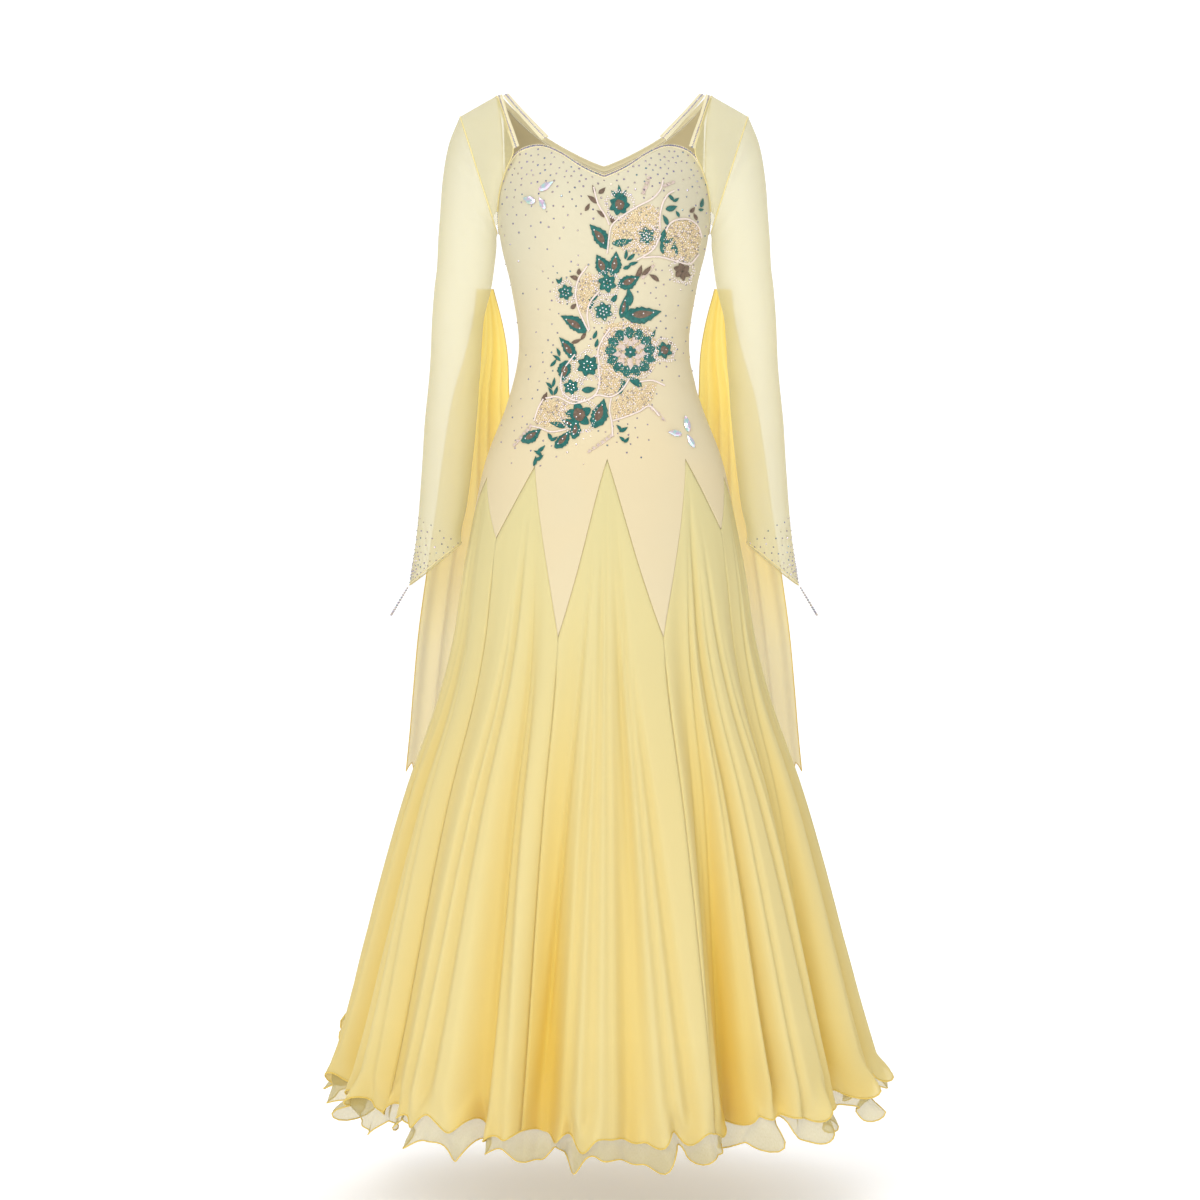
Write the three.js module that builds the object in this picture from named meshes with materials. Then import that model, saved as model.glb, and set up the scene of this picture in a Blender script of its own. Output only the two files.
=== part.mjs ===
// A ballroom dance dress in the hollow shape that it has when worn, with no wearer.
// Millimetres, +Z up. The front faces -Y and +X is on the right of someone who looks at the front.
// The origin is the middle of the shoulder line. Left and right are the viewer's.
import * as THREE from "three";

// Walls and gaps.
const CREPE_WALL = 1.6;
const CHIFFON_WALL = 1.6;
const ORGANZA_WALL = 1.2;
const MESH_WALL = 1.2;
const STRAP_WALL = 1.8;
const LACE_WALL = 1.0;
const SEAM = 0.3;
const ZIGZAG_SEAM = 1.6; // measured down the steep zigzag, which leaves SEAM across it
const ARMHOLE_SEAM = 1.0;
const SHOULDER_BULGE = { out: 5, fullAt: 30 }; // full where this far in front of or behind the top

// Hems.
const CHIFFON_HEM = { front: -1332, side: -1306, back: -1330 };
const ORGANZA_HEM = { front: -1357, side: -1330, back: -1354 };
const ORGANZA_TOP = -742;
const ORGANZA_INSET = 9; // from the chiffon to the organza inside it

// The dress by level: half width, depth in front and behind, and how square the ring is.
const RINGS = [
  { z: 6, side: 156, front: 14, back: 24, square: 2.2 },
  { z: -20, side: 153, front: 45, back: 56, square: 2.2 },
  { z: -45, side: 150, front: 68, back: 75, square: 2.3 },
  { z: -90, side: 146, front: 91, back: 86, square: 2.3 },
  { z: -150, side: 142.5, front: 107, back: 88, square: 2.3 },
  { z: -200, side: 138, front: 105, back: 85, square: 2.3 },
  { z: -260, side: 124, front: 94, back: 77, square: 2.3 },
  { z: -340, side: 114, front: 84, back: 68, square: 2.3 },
  { z: -409, side: 128, front: 91, back: 88, square: 2.3 },
  { z: -490, side: 158, front: 108, back: 114, square: 2.2 },
  { z: -563, side: 174, front: 133, back: 139, square: 2.1 },
  { z: -640, side: 189, front: 161, back: 166, square: 2 },
  { z: -731, side: 203, front: 190, back: 195, square: 2 },
  { z: -812, side: 224, front: 217, back: 219, square: 2 },
  { z: -925, side: 264, front: 251, back: 252, square: 2 },
  { z: -1023, side: 293, front: 280, back: 280, square: 2 },
  { z: -1132, side: 322, front: 309, back: 306, square: 2 },
  { z: -1221, side: 346, front: 333, back: 329, square: 2 },
  { z: -1319, side: 375, front: 356, back: 350, square: 2 },
  { z: -1360, side: 386, front: 366, back: 360, square: 2 },
];

// The two cups of the bodice stand forward of the rings.
const CUP = { x: 68, z: -152, out: 15, wide: 40, high: 42, fadeToSide: 0.3 };

// Godets round the skirt, by angle from the front towards +X. Each is let in under its apex,
// and a long point of the bodice comes down between it and the next.
const GODETS = [
  { name: "front", apex: 1, apexZ: -494, point: 22, pointZ: -724 },
  { name: "front_right", apex: 40, apexZ: -492, point: 59, pointZ: -584 },
  { name: "side_front_right", apex: 75, apexZ: -512, point: 92, pointZ: -566 },
  { name: "side_back_right", apex: 109, apexZ: -512, point: 127, pointZ: -592 },
  { name: "back_right", apex: 145, apexZ: -498, point: 163, pointZ: -722 },
  { name: "back", apex: 181, apexZ: -494, point: 199, pointZ: -722 },
  { name: "back_left", apex: 216, apexZ: -498, point: 234, pointZ: -592 },
  { name: "side_back_left", apex: 252, apexZ: -512, point: 272, pointZ: -566 },
  { name: "side_front_left", apex: 290, apexZ: -514, point: 309, pointZ: -596 },
  { name: "front_left", apex: 328, apexZ: -502, point: 343, pointZ: -724 },
];
const SIDE_SEAMS = { right: 92, left: -88 };
const FOLD_GROWTH = 1.3; // the power of the way down by which a fold deepens

// The largest folds of the skirt: the valleys, by angle, depth at the hem and half width.
const FOLDS = [
  { at: -68, deep: 30, wide: 9 },
  { at: -50, deep: 34, wide: 10 },
  { at: -31, deep: 26, wide: 9 },
  { at: -12, deep: 40, wide: 10 },
  { at: 5, deep: 24, wide: 7 },
  { at: 25, deep: 42, wide: 10 },
  { at: 46, deep: 36, wide: 9 },
  { at: 64, deep: 28, wide: 9 },
  { at: 82, deep: 30, wide: 9 },
  { at: 100, deep: 36, wide: 9 },
  { at: 118, deep: 28, wide: 8 },
  { at: 137, deep: 40, wide: 10 },
  { at: 156, deep: 30, wide: 9 },
  { at: 174, deep: 36, wide: 9 },
  { at: 192, deep: 28, wide: 8 },
  { at: 209, deep: 40, wide: 10 },
  { at: 227, deep: 30, wide: 9 },
  { at: 245, deep: 34, wide: 9 },
  { at: 262, deep: 32, wide: 8 },
  { at: 277, deep: 26, wide: 7 },
];

// The upper edge of the bodice, from the centre to the side seam. Angles are from the front
// axis for the front and from the back axis for the back.
const FRONT_TOP = [
  { angle: 0, z: -125 },
  { angle: 9, z: -112 },
  { angle: 20, z: -92 },
  { angle: 30, z: -81 },
  { angle: 41, z: -82 },
  { angle: 51, z: -90 },
  { angle: 63, z: -112 },
  { angle: 76, z: -142 },
  { angle: 90, z: -184 },
];
const BACK_TOP = [
  { angle: 0, z: -82, foot: 0 },
  { angle: 31, z: -42, foot: 30 },
  { angle: 60, z: -1, foot: 52 },
  { angle: 66, z: -95, foot: 63 },
  { angle: 76, z: -140, foot: 76 },
  { angle: 90, z: -184, foot: 90 },
  { angle: 94, z: -184, foot: 94 },
];
const NECK_BAND = { high: 9 };
const HIP_LEVEL = -482; // rows of the bodice are level down to here
const BACK_LEAN = 0.7; // the power of the way down by which the back's columns become upright

// Cells of each cloth wall: columns on each edge of the zigzag, and rows.
const FRONT_CELLS = { above: 11, below: 3 };
const BACK_CELLS = { above: 7, below: 3 };
const BODICE_EDGE_CELLS = 2;
const GODET_CELLS = { edge: 4, down: 6, underDown: 4 };
const SLEEVE_SIDES = 12;
const SHOULDER_CELLS = 3;
const STRAP_CELLS = 6;
const FLOAT_CELLS = 8;
const APPLIQUE_CELLS = { across: 7, down: 14 };

// One sleeve, by ring, for the left arm. lean lifts the outer side of a ring above its middle.
const SLEEVE = [
  { x: -168, y: 1, z: -108, across: 25, deep: 46, lean: 78 },
  { x: -176, y: 1, z: -130, across: 32, deep: 43, lean: 62 },
  { x: -180, y: 0, z: -160, across: 36, deep: 41, lean: 45 },
  { x: -183, y: 0, z: -196, across: 37, deep: 39, lean: 28 },
  { x: -188, y: -1, z: -248, across: 37, deep: 38, lean: 12 },
  { x: -195.5, y: -2, z: -302, across: 34.5, deep: 37, lean: 2 },
  { x: -199, y: -4, z: -369, across: 34, deep: 36, lean: 0 },
  { x: -206, y: -7, z: -450, across: 34.5, deep: 35, lean: 0 },
  { x: -214, y: -10, z: -543, across: 32, deep: 33, lean: 0 },
  { x: -220.5, y: -12, z: -590, across: 30.5, deep: 32, lean: -8 },
  { x: -225, y: -13, z: -629, across: 34.5, deep: 34, lean: -28 },
];

// The sheer shoulder piece runs over the shoulder. Each row joins a point of the armhole ring,
// by its angle round the sleeve, to the edge by the neck.
const SHOULDER = [
  { round: 142, x: -144.5, y: -27, z: -158 },
  { round: 112, x: -142, y: -45, z: -132 },
  { round: 90, x: -134, y: -63, z: -110 },
  { round: 68, x: -124, y: -76, z: -88 },
  { round: 42, x: -136, y: -44, z: -43 },
  { round: 18, x: -146, y: -10, z: -8 },
  { round: -2, x: -149, y: 9, z: -1 },
  { round: -24, x: -147, y: 27, z: -8 },
  { round: -54, x: -142, y: 48, z: -40 },
  { round: -90, x: -142, y: 62, z: -98 },
  { round: -118, x: -144, y: 48, z: -140 },
  { round: -145, x: -145.5, y: 25, z: -166 },
];

// Straps from the neckline to the shoulder, for the left side.
const STRAPS = {
  inner: [
    { x: -77, y: -93, z: -75, wide: 9 },
    { x: -94, y: -74, z: -54, wide: 8 },
    { x: -113, y: -45, z: -29, wide: 7 },
    { x: -131, y: -6, z: -2, wide: 6 },
  ],
  outer: [
    { x: -115, y: -77, z: -84, wide: 7 },
    { x: -122, y: -60, z: -62, wide: 7 },
    { x: -131, y: -35, z: -35, wide: 7 },
    { x: -140, y: -4, z: -3, wide: 7 },
  ],
};
const CHEST_MIDDLE = new THREE.Vector3(-80, 30, -130); // the straps lie flat round it

// The chiffon float behind the left arm, by level: the edge on the sleeve and the free edge.
const FLOAT = [
  { z: -256, outX: -172, outY: 42, inX: -150, inY: 38 },
  { z: -302, outX: -178, outY: 43, inX: -138, inY: 40 },
  { z: -345, outX: -188, outY: 43, inX: -131, inY: 44 },
  { z: -400, outX: -204, outY: 43, inX: -129, inY: 52 },
  { z: -470, outX: -216, outY: 42, inX: -124, inY: 84 },
  { z: -560, outX: -228, outY: 42, inX: -116, inY: 122 },
  { z: -645, outX: -241, outY: 46, inX: -122, inY: 146 },
  { z: -722, outX: -252, outY: 54, inX: -130, inY: 164 },
  { z: -800, outX: -260, outY: 66, inX: -142, inY: 184 },
  { z: -860, outX: -266, outY: 82, inX: -152, inY: 202 },
  { z: -925, outX: -274, outY: 104, inX: -160, inY: 220 },
];
const FLOAT_HEM = { outer: -922, inner: -846 };
const FLOAT_FOLD = { deep: 11, count: 2.5, fullBy: 0.62, sideways: 0.5 };

// The finger loop at the sleeve's point: a teardrop in the plane of the hand.
const LOOP = { x: -262.5, y: -13, z: -661, toX: -284, toZ: -697, wide: 12, cord: 0.9 };
const LOOP_SHAPE = [
  { along: 0, side: 0 },
  { along: 0.35, side: 0.36 },
  { along: 0.72, side: 0.5 },
  { along: 0.96, side: 0.28 },
];

// The floral lace appliqué on the bodice front, by level: its left and right edges.
const APPLIQUE = [
  { z: -134, left: 46, right: 104 },
  { z: -158, left: -6, right: 124 },
  { z: -196, left: -20, right: 124 },
  { z: -236, left: -24, right: 108 },
  { z: -264, left: -28, right: 70 },
  { z: -302, left: -56, right: 76 },
  { z: -352, left: -74, right: 86 },
  { z: -392, left: -86, right: 78 },
  { z: -420, left: -98, right: 72 },
  { z: -456, left: -110, right: 40 },
  { z: -480, left: -100, right: -52 },
];
const APPLIQUE_LIFT = 2.2;

// Drop shaped stones, in two clusters of three: the middle, the way it points and its length.
const STONES = [
  { name: "stone_bust_upper", x: -75, z: -140, turn: -62, long: 17 },
  { name: "stone_bust_left", x: -97, z: -156, turn: 72, long: 17 },
  { name: "stone_bust_lower", x: -80, z: -162, turn: 28, long: 14 },
  { name: "stone_hip_upper", x: 108, z: -446, turn: 4, long: 17 },
  { name: "stone_hip_left", x: 92, z: -459, turn: 84, long: 15 },
  { name: "stone_hip_lower", x: 113, z: -469, turn: 24, long: 15 },
];
const STONE = { wide: 7.5, high: 3, lift: 1.1, facets: 8, taper: 0.55, table: 0.5, girdle: 0.3 };

const COLOURS = {
  crepe: { color: 0xf5e6b8, roughness: 0.75 },
  chiffon: { color: 0xf6e08f, roughness: 0.7 },
  organza: { color: 0xe6dfc0, roughness: 0.5 },
  mesh: { color: 0xe9e4c0, roughness: 0.7 },
  lace: { color: 0x3d6f63, roughness: 0.6 },
  elastic: { color: 0xd8d6d0, roughness: 0.4 },
  crystal: { color: 0xdfe6ee, roughness: 0.1 },
};

const degrees = Math.PI / 180;
const dress = new THREE.Group();

function finish(name) {
  return new THREE.MeshStandardMaterial({ ...COLOURS[name], metalness: 0 });
}

// A smooth curve through one column of a table, read at a value of another column.
function readColumn(table, name, key, value) {
  const last = table.length - 1;
  const rising = table[last][key] > table[0][key];
  let i = 0;
  while (i < last - 1 && (rising ? value > table[i + 1][key] : value < table[i + 1][key])) i++;
  const a = table[i];
  const b = table[i + 1];
  const before = table[Math.max(i - 1, 0)];
  const after = table[Math.min(i + 2, last)];
  const span = b[key] - a[key];
  const slope = (p, q) => (q[name] - p[name]) / (q[key] - p[key]);
  const ends = [slope(before, b), slope(a, after)].map((s) => s * span);
  const t = THREE.MathUtils.clamp((value - a[key]) / span, 0, 1);
  const rise = b[name] - a[name];
  const bend = ends[0] + ends[1] - 2 * rise;
  return a[name] + t * (ends[0] + t * (rise - ends[0] - bend + t * bend));
}

// The same, by row number, for tables with no column to read by.
function readRow(table, name, row) {
  const numbered = table.map((r, i) => ({ row: i, [name]: r[name] }));
  return readColumn(numbered, name, "row", row);
}

function straight(table, name, key, value) {
  const i = Math.max(1, table.findIndex((r) => r[key] >= value));
  const a = table[i - 1];
  const b = table[i];
  return THREE.MathUtils.mapLinear(value, a[key], b[key], a[name], b[name]);
}

function spaced(from, to, cells) {
  return Array.from({ length: cells + 1 }, (_, i) => from + ((to - from) * i) / cells);
}

// A point and the way out, from any two-way surface.
function vertexOn(surface, u, v, step = 1e-3) {
  const across = surface(u + step, v).sub(surface(u - step, v));
  const down = surface(u, v + step).sub(surface(u, v - step));
  return { at: surface(u, v), out: down.cross(across).normalize() };
}

function moved(vertex, distance) {
  return { at: vertex.at.clone().addScaledVector(vertex.out, distance), out: vertex.out };
}

// A cloth wall: rows from top to bottom, each running to the right as seen from outside.
function clothWall(name, rows, wall, material, closed = false) {
  const count = rows[0].length;
  const size = rows.length * count;
  const outer = rows.flat().map((v) => v.at);
  const inner = rows.flat().map((v) => v.at.clone().addScaledVector(v.out, -wall));
  const faces = [];
  const quad = (a, b, c, d) => faces.push(a, b, c, a, c, d);
  const cells = closed ? count : count - 1;
  const lastRow = rows.length - 1;
  for (let c = 0; c < cells; c++) {
    const next = (c + 1) % count;
    for (let r = 0; r < lastRow; r++) {
      const [a, b] = [r * count + c, r * count + next];
      quad(a, a + count, b + count, b);
      quad(size + a, size + b, size + b + count, size + a + count);
    }
    quad(c, next, size + next, size + c);
    const foot = lastRow * count;
    quad(foot + next, foot + c, size + foot + c, size + foot + next);
  }
  for (let r = 0; r < lastRow && !closed; r++) {
    const left = r * count;
    const right = left + count - 1;
    quad(left + count, left, size + left, size + left + count);
    quad(right, right + count, size + right + count, size + right);
  }
  const geometry = new THREE.BufferGeometry().setFromPoints([...outer, ...inner]);
  geometry.setIndex(faces);
  geometry.computeVertexNormals();
  return addMesh(name, geometry, material);
}

function addMesh(name, geometry, material) {
  const mesh = new THREE.Mesh(geometry, finish(material));
  mesh.name = name;
  dress.add(mesh);
  return mesh;
}

function mirrored(rows) {
  const flip = (v) => new THREE.Vector3(-v.x, v.y, v.z);
  return rows.map((row) => row.map((v) => ({ at: flip(v.at), out: flip(v.out) })).reverse());
}

// Both sides of a paired piece.
function pair(name, rows, wall, material, closed = false) {
  clothWall(name + "_left", rows, wall, material, closed);
  clothWall(name + "_right", mirrored(rows), wall, material, closed);
}

// The zigzag line round the hips, by angle.
const zigzag = GODETS.flatMap((g) => [
  { angle: g.apex, z: g.apexZ },
  { angle: g.point, z: g.pointZ },
]);

function wrapped(angle, start) {
  return start + THREE.MathUtils.euclideanModulo(angle - start, 360);
}

function zigzagZ(angle) {
  const first = zigzag[0].angle;
  const closedLine = [...zigzag, { angle: first + 360, z: zigzag[0].z }];
  return straight(closedLine, "z", "angle", wrapped(angle, first));
}

function hemZ(hem, angle) {
  const side = Math.sin(angle * degrees) ** 2;
  const end = Math.cos(angle * degrees) > 0 ? hem.front : hem.back;
  return end + (hem.side - end) * side;
}

// How far the folds draw a point in from the widest ring: none at the zigzag, most at the hem.
function foldDepth(angle, z) {
  const start = zigzagZ(angle);
  const down = THREE.MathUtils.clamp((start - z) / (start - CHIFFON_HEM.side), 0, 1.05);
  let depth = 0;
  for (const fold of FOLDS) {
    const away = Math.abs(wrapped(angle - fold.at, -180)) / fold.wide;
    if (away < 1) depth += fold.deep * 0.5 * (1 + Math.cos(Math.PI * away));
  }
  return depth * down ** FOLD_GROWTH;
}

function cupOut(x, z) {
  const away = (Math.abs(x) - CUP.x) / CUP.wide;
  const level = (z - CUP.z) / CUP.high;
  return CUP.out * Math.exp(-0.5 * (away * away + level * level));
}

// The outside of the bodice and skirt at an angle and a level.
function shell(angle, z, inset = 0) {
  const ring = (name) => readColumn(RINGS, name, "z", z);
  const [s, c] = [Math.sin(angle * degrees), Math.cos(angle * degrees)];
  const power = 2 / ring("square");
  const depth = c > 0 ? ring("front") : ring("back");
  const point = new THREE.Vector3(
    ring("side") * Math.sign(s) * Math.abs(s) ** power,
    -depth * Math.sign(c) * Math.abs(c) ** power,
    z,
  );
  const drawnIn = foldDepth(angle, z) + inset;
  point.x -= drawnIn * s;
  point.y += drawnIn * c;
  if (c > 0) point.y -= cupOut(point.x, z) * c ** CUP.fadeToSide;
  return point;
}

function shellVertex(angle, z, inset = 0) {
  return vertexOn((u, v) => shell(u, -v, inset), angle, -z, 0.05);
}

// An angle moved off a seam by half its gap.
function besideSeam(angle, z, side) {
  const reach = Math.hypot(...shell(angle, z).toArray().slice(0, 2));
  return angle + (side * SEAM) / 2 / reach / degrees;
}

// The angle on the front at which the bodice has this x.
function angleAtX(x, z) {
  let [low, high] = [0, 90];
  for (let i = 0; i < 30; i++) {
    const middle = (low + high) / 2;
    if (shell(middle, z).x < Math.abs(x)) low = middle;
    else high = middle;
  }
  return low * Math.sign(x);
}

// Column angles between the godet points from one side seam to the other.
function zigzagColumns(from, to, cellsPerEdge) {
  const line = [...zigzag, ...zigzag.map((p) => ({ ...p, angle: p.angle - 360 }))]
    .map((p) => p.angle)
    .filter((a) => a > from - 1e-6 && a < to + 1e-6)
    .sort((a, b) => a - b);
  const angles = [from];
  for (const end of line.slice(1)) {
    angles.push(...spaced(angles.at(-1), end, cellsPerEdge).slice(1));
  }
  return angles;
}

// Rows of a bodice panel: shares of the way to the hip level, then of the way to the zigzag.
function bodiceRows(above, below) {
  return [
    ...spaced(0, 1, above).map((share) => ({ above: share, below: 0 })),
    ...spaced(0, 1, below).slice(1).map((share) => ({ above: 1, below: share })),
  ];
}

function bodiceLevel(row, topZ, footZ) {
  const level = THREE.MathUtils.lerp(topZ, HIP_LEVEL, row.above);
  return THREE.MathUtils.lerp(level, footZ, row.below);
}

function makeBodiceFront() {
  const angles = zigzagColumns(SIDE_SEAMS.left, SIDE_SEAMS.right, BODICE_EDGE_CELLS);
  const topZ = (angle) => readColumn(FRONT_TOP, "z", "angle", Math.min(Math.abs(angle), 90));
  const rows = bodiceRows(FRONT_CELLS.above, FRONT_CELLS.below).map((row) =>
    angles.map((angle, i) => {
      const side = i === 0 ? 1 : i === angles.length - 1 ? -1 : 0;
      const z = bodiceLevel(row, topZ(angle), zigzagZ(angle) + ZIGZAG_SEAM / 2);
      return shellVertex(besideSeam(angle, z, side), z);
    }),
  );
  clothWall("bodice_front", rows, CREPE_WALL, "crepe");
}

// The back's columns lean, so that they meet its peaks at the shoulders.
function backTop(foot) {
  const away = Math.abs(foot);
  return {
    angle: 180 + Math.sign(foot) * straight(BACK_TOP, "angle", "foot", away),
    z: straight(BACK_TOP, "z", "foot", away),
    inNeck: away <= BACK_TOP[2].foot,
  };
}

function makeBodiceBack() {
  const backColumns = zigzagColumns(SIDE_SEAMS.right, SIDE_SEAMS.left + 360, BODICE_EDGE_CELLS);
  const feet = [
    ...backColumns.map((angle) => angle - 180),
    ...BACK_TOP.slice(2, 5).flatMap((row) => [-row.foot, row.foot]),
    0,
  ].sort((a, b) => a - b);
  const rows = bodiceRows(BACK_CELLS.above, BACK_CELLS.below).map((row) =>
    feet.map((foot, i) => {
      const side = i === 0 ? 1 : i === feet.length - 1 ? -1 : 0;
      const top = backTop(foot);
      const band = top.inNeck ? NECK_BAND.high + SEAM * 2 : 0;
      const z = bodiceLevel(row, top.z - band, zigzagZ(180 + foot) + ZIGZAG_SEAM / 2);
      const angle = THREE.MathUtils.lerp(top.angle, 180 + foot, row.above ** BACK_LEAN);
      return shellVertex(besideSeam(angle, z, side), z);
    }),
  );
  clothWall("bodice_back", rows, CREPE_WALL, "crepe");
  const neckFeet = feet.filter((foot) => backTop(foot).inNeck);
  const bandRows = [0, NECK_BAND.high].map((down) =>
    neckFeet.map((foot) => shellVertex(backTop(foot).angle, backTop(foot).z - down)),
  );
  clothWall("back_neck_band", bandRows, CREPE_WALL, "crepe");
}

function godetAngles(godet, before) {
  const start = wrapped(before.point, godet.apex - 180);
  const afterApex = spaced(godet.apex, godet.point, GODET_CELLS.edge).slice(1);
  return [...spaced(start, godet.apex, GODET_CELLS.edge), ...afterApex];
}

// A godet's upper edge keeps to the straight stretches of the bodice's edge above it.
function makeGodet(godet, angles) {
  const rows = spaced(0, 1, GODET_CELLS.down).map((down) =>
    angles.map((angle, i) => {
      const side = i === 0 ? 1 : i === angles.length - 1 ? -1 : 0;
      const top = zigzagZ(angle) - ZIGZAG_SEAM / 2;
      const z = THREE.MathUtils.lerp(top, hemZ(CHIFFON_HEM, angle), down);
      return shellVertex(besideSeam(angle, z, side), z);
    }),
  );
  for (let i = 1; i < angles.length; i += 2) {
    rows[0][i].at.lerpVectors(rows[0][i - 1].at, rows[0][i + 1].at, 0.5);
    rows[0][i].out.lerpVectors(rows[0][i - 1].out, rows[0][i + 1].out, 0.5);
  }
  clothWall("godet_" + godet.name, rows, CHIFFON_WALL, "chiffon");
}

function makeUnderGodet(godet, angles) {
  const rows = spaced(0, 1, GODET_CELLS.underDown).map((down) =>
    angles.map((angle, i) => {
      const side = i === 0 ? 1 : i === angles.length - 1 ? -1 : 0;
      const z = THREE.MathUtils.lerp(ORGANZA_TOP, hemZ(ORGANZA_HEM, angle), down);
      return shellVertex(besideSeam(angle, z, side), z, ORGANZA_INSET);
    }),
  );
  clothWall("under_" + godet.name, rows, ORGANZA_WALL, "organza");
}

// A point of the left sleeve: round 0 is its outer side and 90 its front.
function sleevePoint(round, row) {
  const ring = (name) => readRow(SLEEVE, name, row);
  const [s, c] = [Math.sin(round * degrees), Math.cos(round * degrees)];
  return new THREE.Vector3(
    ring("x") - ring("across") * c,
    ring("y") - ring("deep") * s,
    ring("z") + ring("lean") * c,
  );
}

function makeSleeves() {
  const rounds = spaced(0, 360, SLEEVE_SIDES).slice(0, -1);
  const last = SLEEVE.length - 1;
  const rows = spaced(0, last, last).map((row) =>
    rounds.map((round) => {
      const inside = THREE.MathUtils.clamp(row, 0.01, last - 0.01);
      const { out } = vertexOn(sleevePoint, round, inside, 0.01);
      return { at: sleevePoint(round, row), out };
    }),
  );
  pair("sleeve", rows, MESH_WALL, "mesh", true);
}

function shoulderPoint(along, across) {
  const edge = (name) => readRow(SHOULDER, name, along);
  const neckSide = new THREE.Vector3(edge("x"), edge("y"), edge("z"));
  const armhole = sleevePoint(edge("round"), 0);
  armhole.x += ARMHOLE_SEAM;
  const bulge = SHOULDER_BULGE.out * Math.sin(Math.PI * across);
  const point = neckSide.lerp(armhole, across);
  point.y += Math.sign(point.y) * bulge * Math.min(1, Math.abs(point.y) / SHOULDER_BULGE.fullAt);
  return point;
}

function makeShoulders() {
  const last = SHOULDER.length - 1;
  const surface = (u, v) => shoulderPoint(last - v, 1 - u);
  const rows = spaced(0, last, last).map((v) =>
    spaced(0, 1, SHOULDER_CELLS).map((u) => {
      const inside = THREE.MathUtils.clamp(v, 0.01, last - 0.01);
      const { out } = vertexOn(surface, u, inside, 0.01);
      return { at: surface(u, v), out };
    }),
  );
  pair("shoulder", rows, MESH_WALL, "mesh");
}

function strapVertex(table, along, across) {
  const read = (name) => readRow(table, name, along);
  const middle = new THREE.Vector3(read("x"), read("y"), read("z"));
  const out = middle.clone().sub(CHEST_MIDDLE).normalize();
  const next = new THREE.Vector3(
    readRow(table, "x", along + 0.01) - readRow(table, "x", along - 0.01),
    readRow(table, "y", along + 0.01) - readRow(table, "y", along - 0.01),
    readRow(table, "z", along + 0.01) - readRow(table, "z", along - 0.01),
  );
  const sideways = next.cross(out).normalize();
  return { at: middle.addScaledVector(sideways, across * read("wide")), out };
}

function makeStraps() {
  for (const [name, table] of Object.entries(STRAPS)) {
    const last = table.length - 1;
    const rows = spaced(last, 0, STRAP_CELLS).map((along) =>
      spaced(-0.5, 0.5, 1).map((across) => {
        const inside = THREE.MathUtils.clamp(along, 0.011, last - 0.011);
        return strapVertex(table, inside, across);
      }),
    );
    pair(name + "_strap", rows, STRAP_WALL, "crepe");
  }
}

// The float hangs behind the arm in soft folds, and its hem slants up towards the back.
function floatPoint(across, down) {
  const hem = THREE.MathUtils.lerp(FLOAT_HEM.outer, FLOAT_HEM.inner, across);
  const z = THREE.MathUtils.lerp(FLOAT[0].z, hem, down);
  const edge = (name) => readColumn(FLOAT, name, "z", z);
  const outer = new THREE.Vector3(edge("outX"), edge("outY"), z);
  const point = outer.lerp(new THREE.Vector3(edge("inX"), edge("inY"), z), across);
  const wave = 0.5 - 0.5 * Math.cos(2 * Math.PI * FLOAT_FOLD.count * across);
  const fold = FLOAT_FOLD.deep * wave * Math.min(1, down / FLOAT_FOLD.fullBy);
  point.y += fold;
  point.x -= fold * FLOAT_FOLD.sideways;
  return point;
}

function makeFloats() {
  const rows = spaced(0, 1, FLOAT_CELLS).map((down) =>
    spaced(0, 1, FLOAT_CELLS).map((across) => vertexOn(floatPoint, across, down)),
  );
  // Seen from behind, the outer edge of the left float is on the left.
  const behind = rows.map((row) =>
    row.map((v) => (v.out.y < 0 ? { at: v.at, out: v.out.clone().negate() } : v)).reverse(),
  );
  pair("float", behind, CHIFFON_WALL, "chiffon");
}

function makeFingerLoops() {
  const from = new THREE.Vector3(LOOP.x, LOOP.y, LOOP.z);
  const to = new THREE.Vector3(LOOP.toX, LOOP.y, LOOP.toZ);
  const place = (p, side) => {
    const point = from.clone().lerp(to, p.along);
    point.y += side * p.side * LOOP.wide;
    return point;
  };
  const points = [
    ...LOOP_SHAPE.map((p) => place(p, 1)),
    to,
    ...LOOP_SHAPE.slice(1).reverse().map((p) => place(p, -1)),
  ];
  for (const [name, mirror] of [["left", 1], ["right", -1]]) {
    const route = points.map((p) => new THREE.Vector3(p.x * mirror, p.y, p.z));
    const path = new THREE.CatmullRomCurve3(route, true, "centripetal");
    const tube = new THREE.TubeGeometry(path, 18, LOOP.cord, 6, true);
    addMesh("finger_loop_" + name, tube, "elastic");
  }
}

function makeApplique() {
  const rows = spaced(0, APPLIQUE.length - 1, APPLIQUE_CELLS.down).map((row) => {
    const z = readRow(APPLIQUE, "z", row);
    const [left, right] = [readRow(APPLIQUE, "left", row), readRow(APPLIQUE, "right", row)];
    const [from, to] = [angleAtX(left, z), angleAtX(right, z)];
    const columns = spaced(from, to, APPLIQUE_CELLS.across);
    return columns.map((a) => moved(shellVertex(a, z), APPLIQUE_LIFT + LACE_WALL));
  });
  clothWall("applique_front", rows, LACE_WALL, "lace");
}

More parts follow.
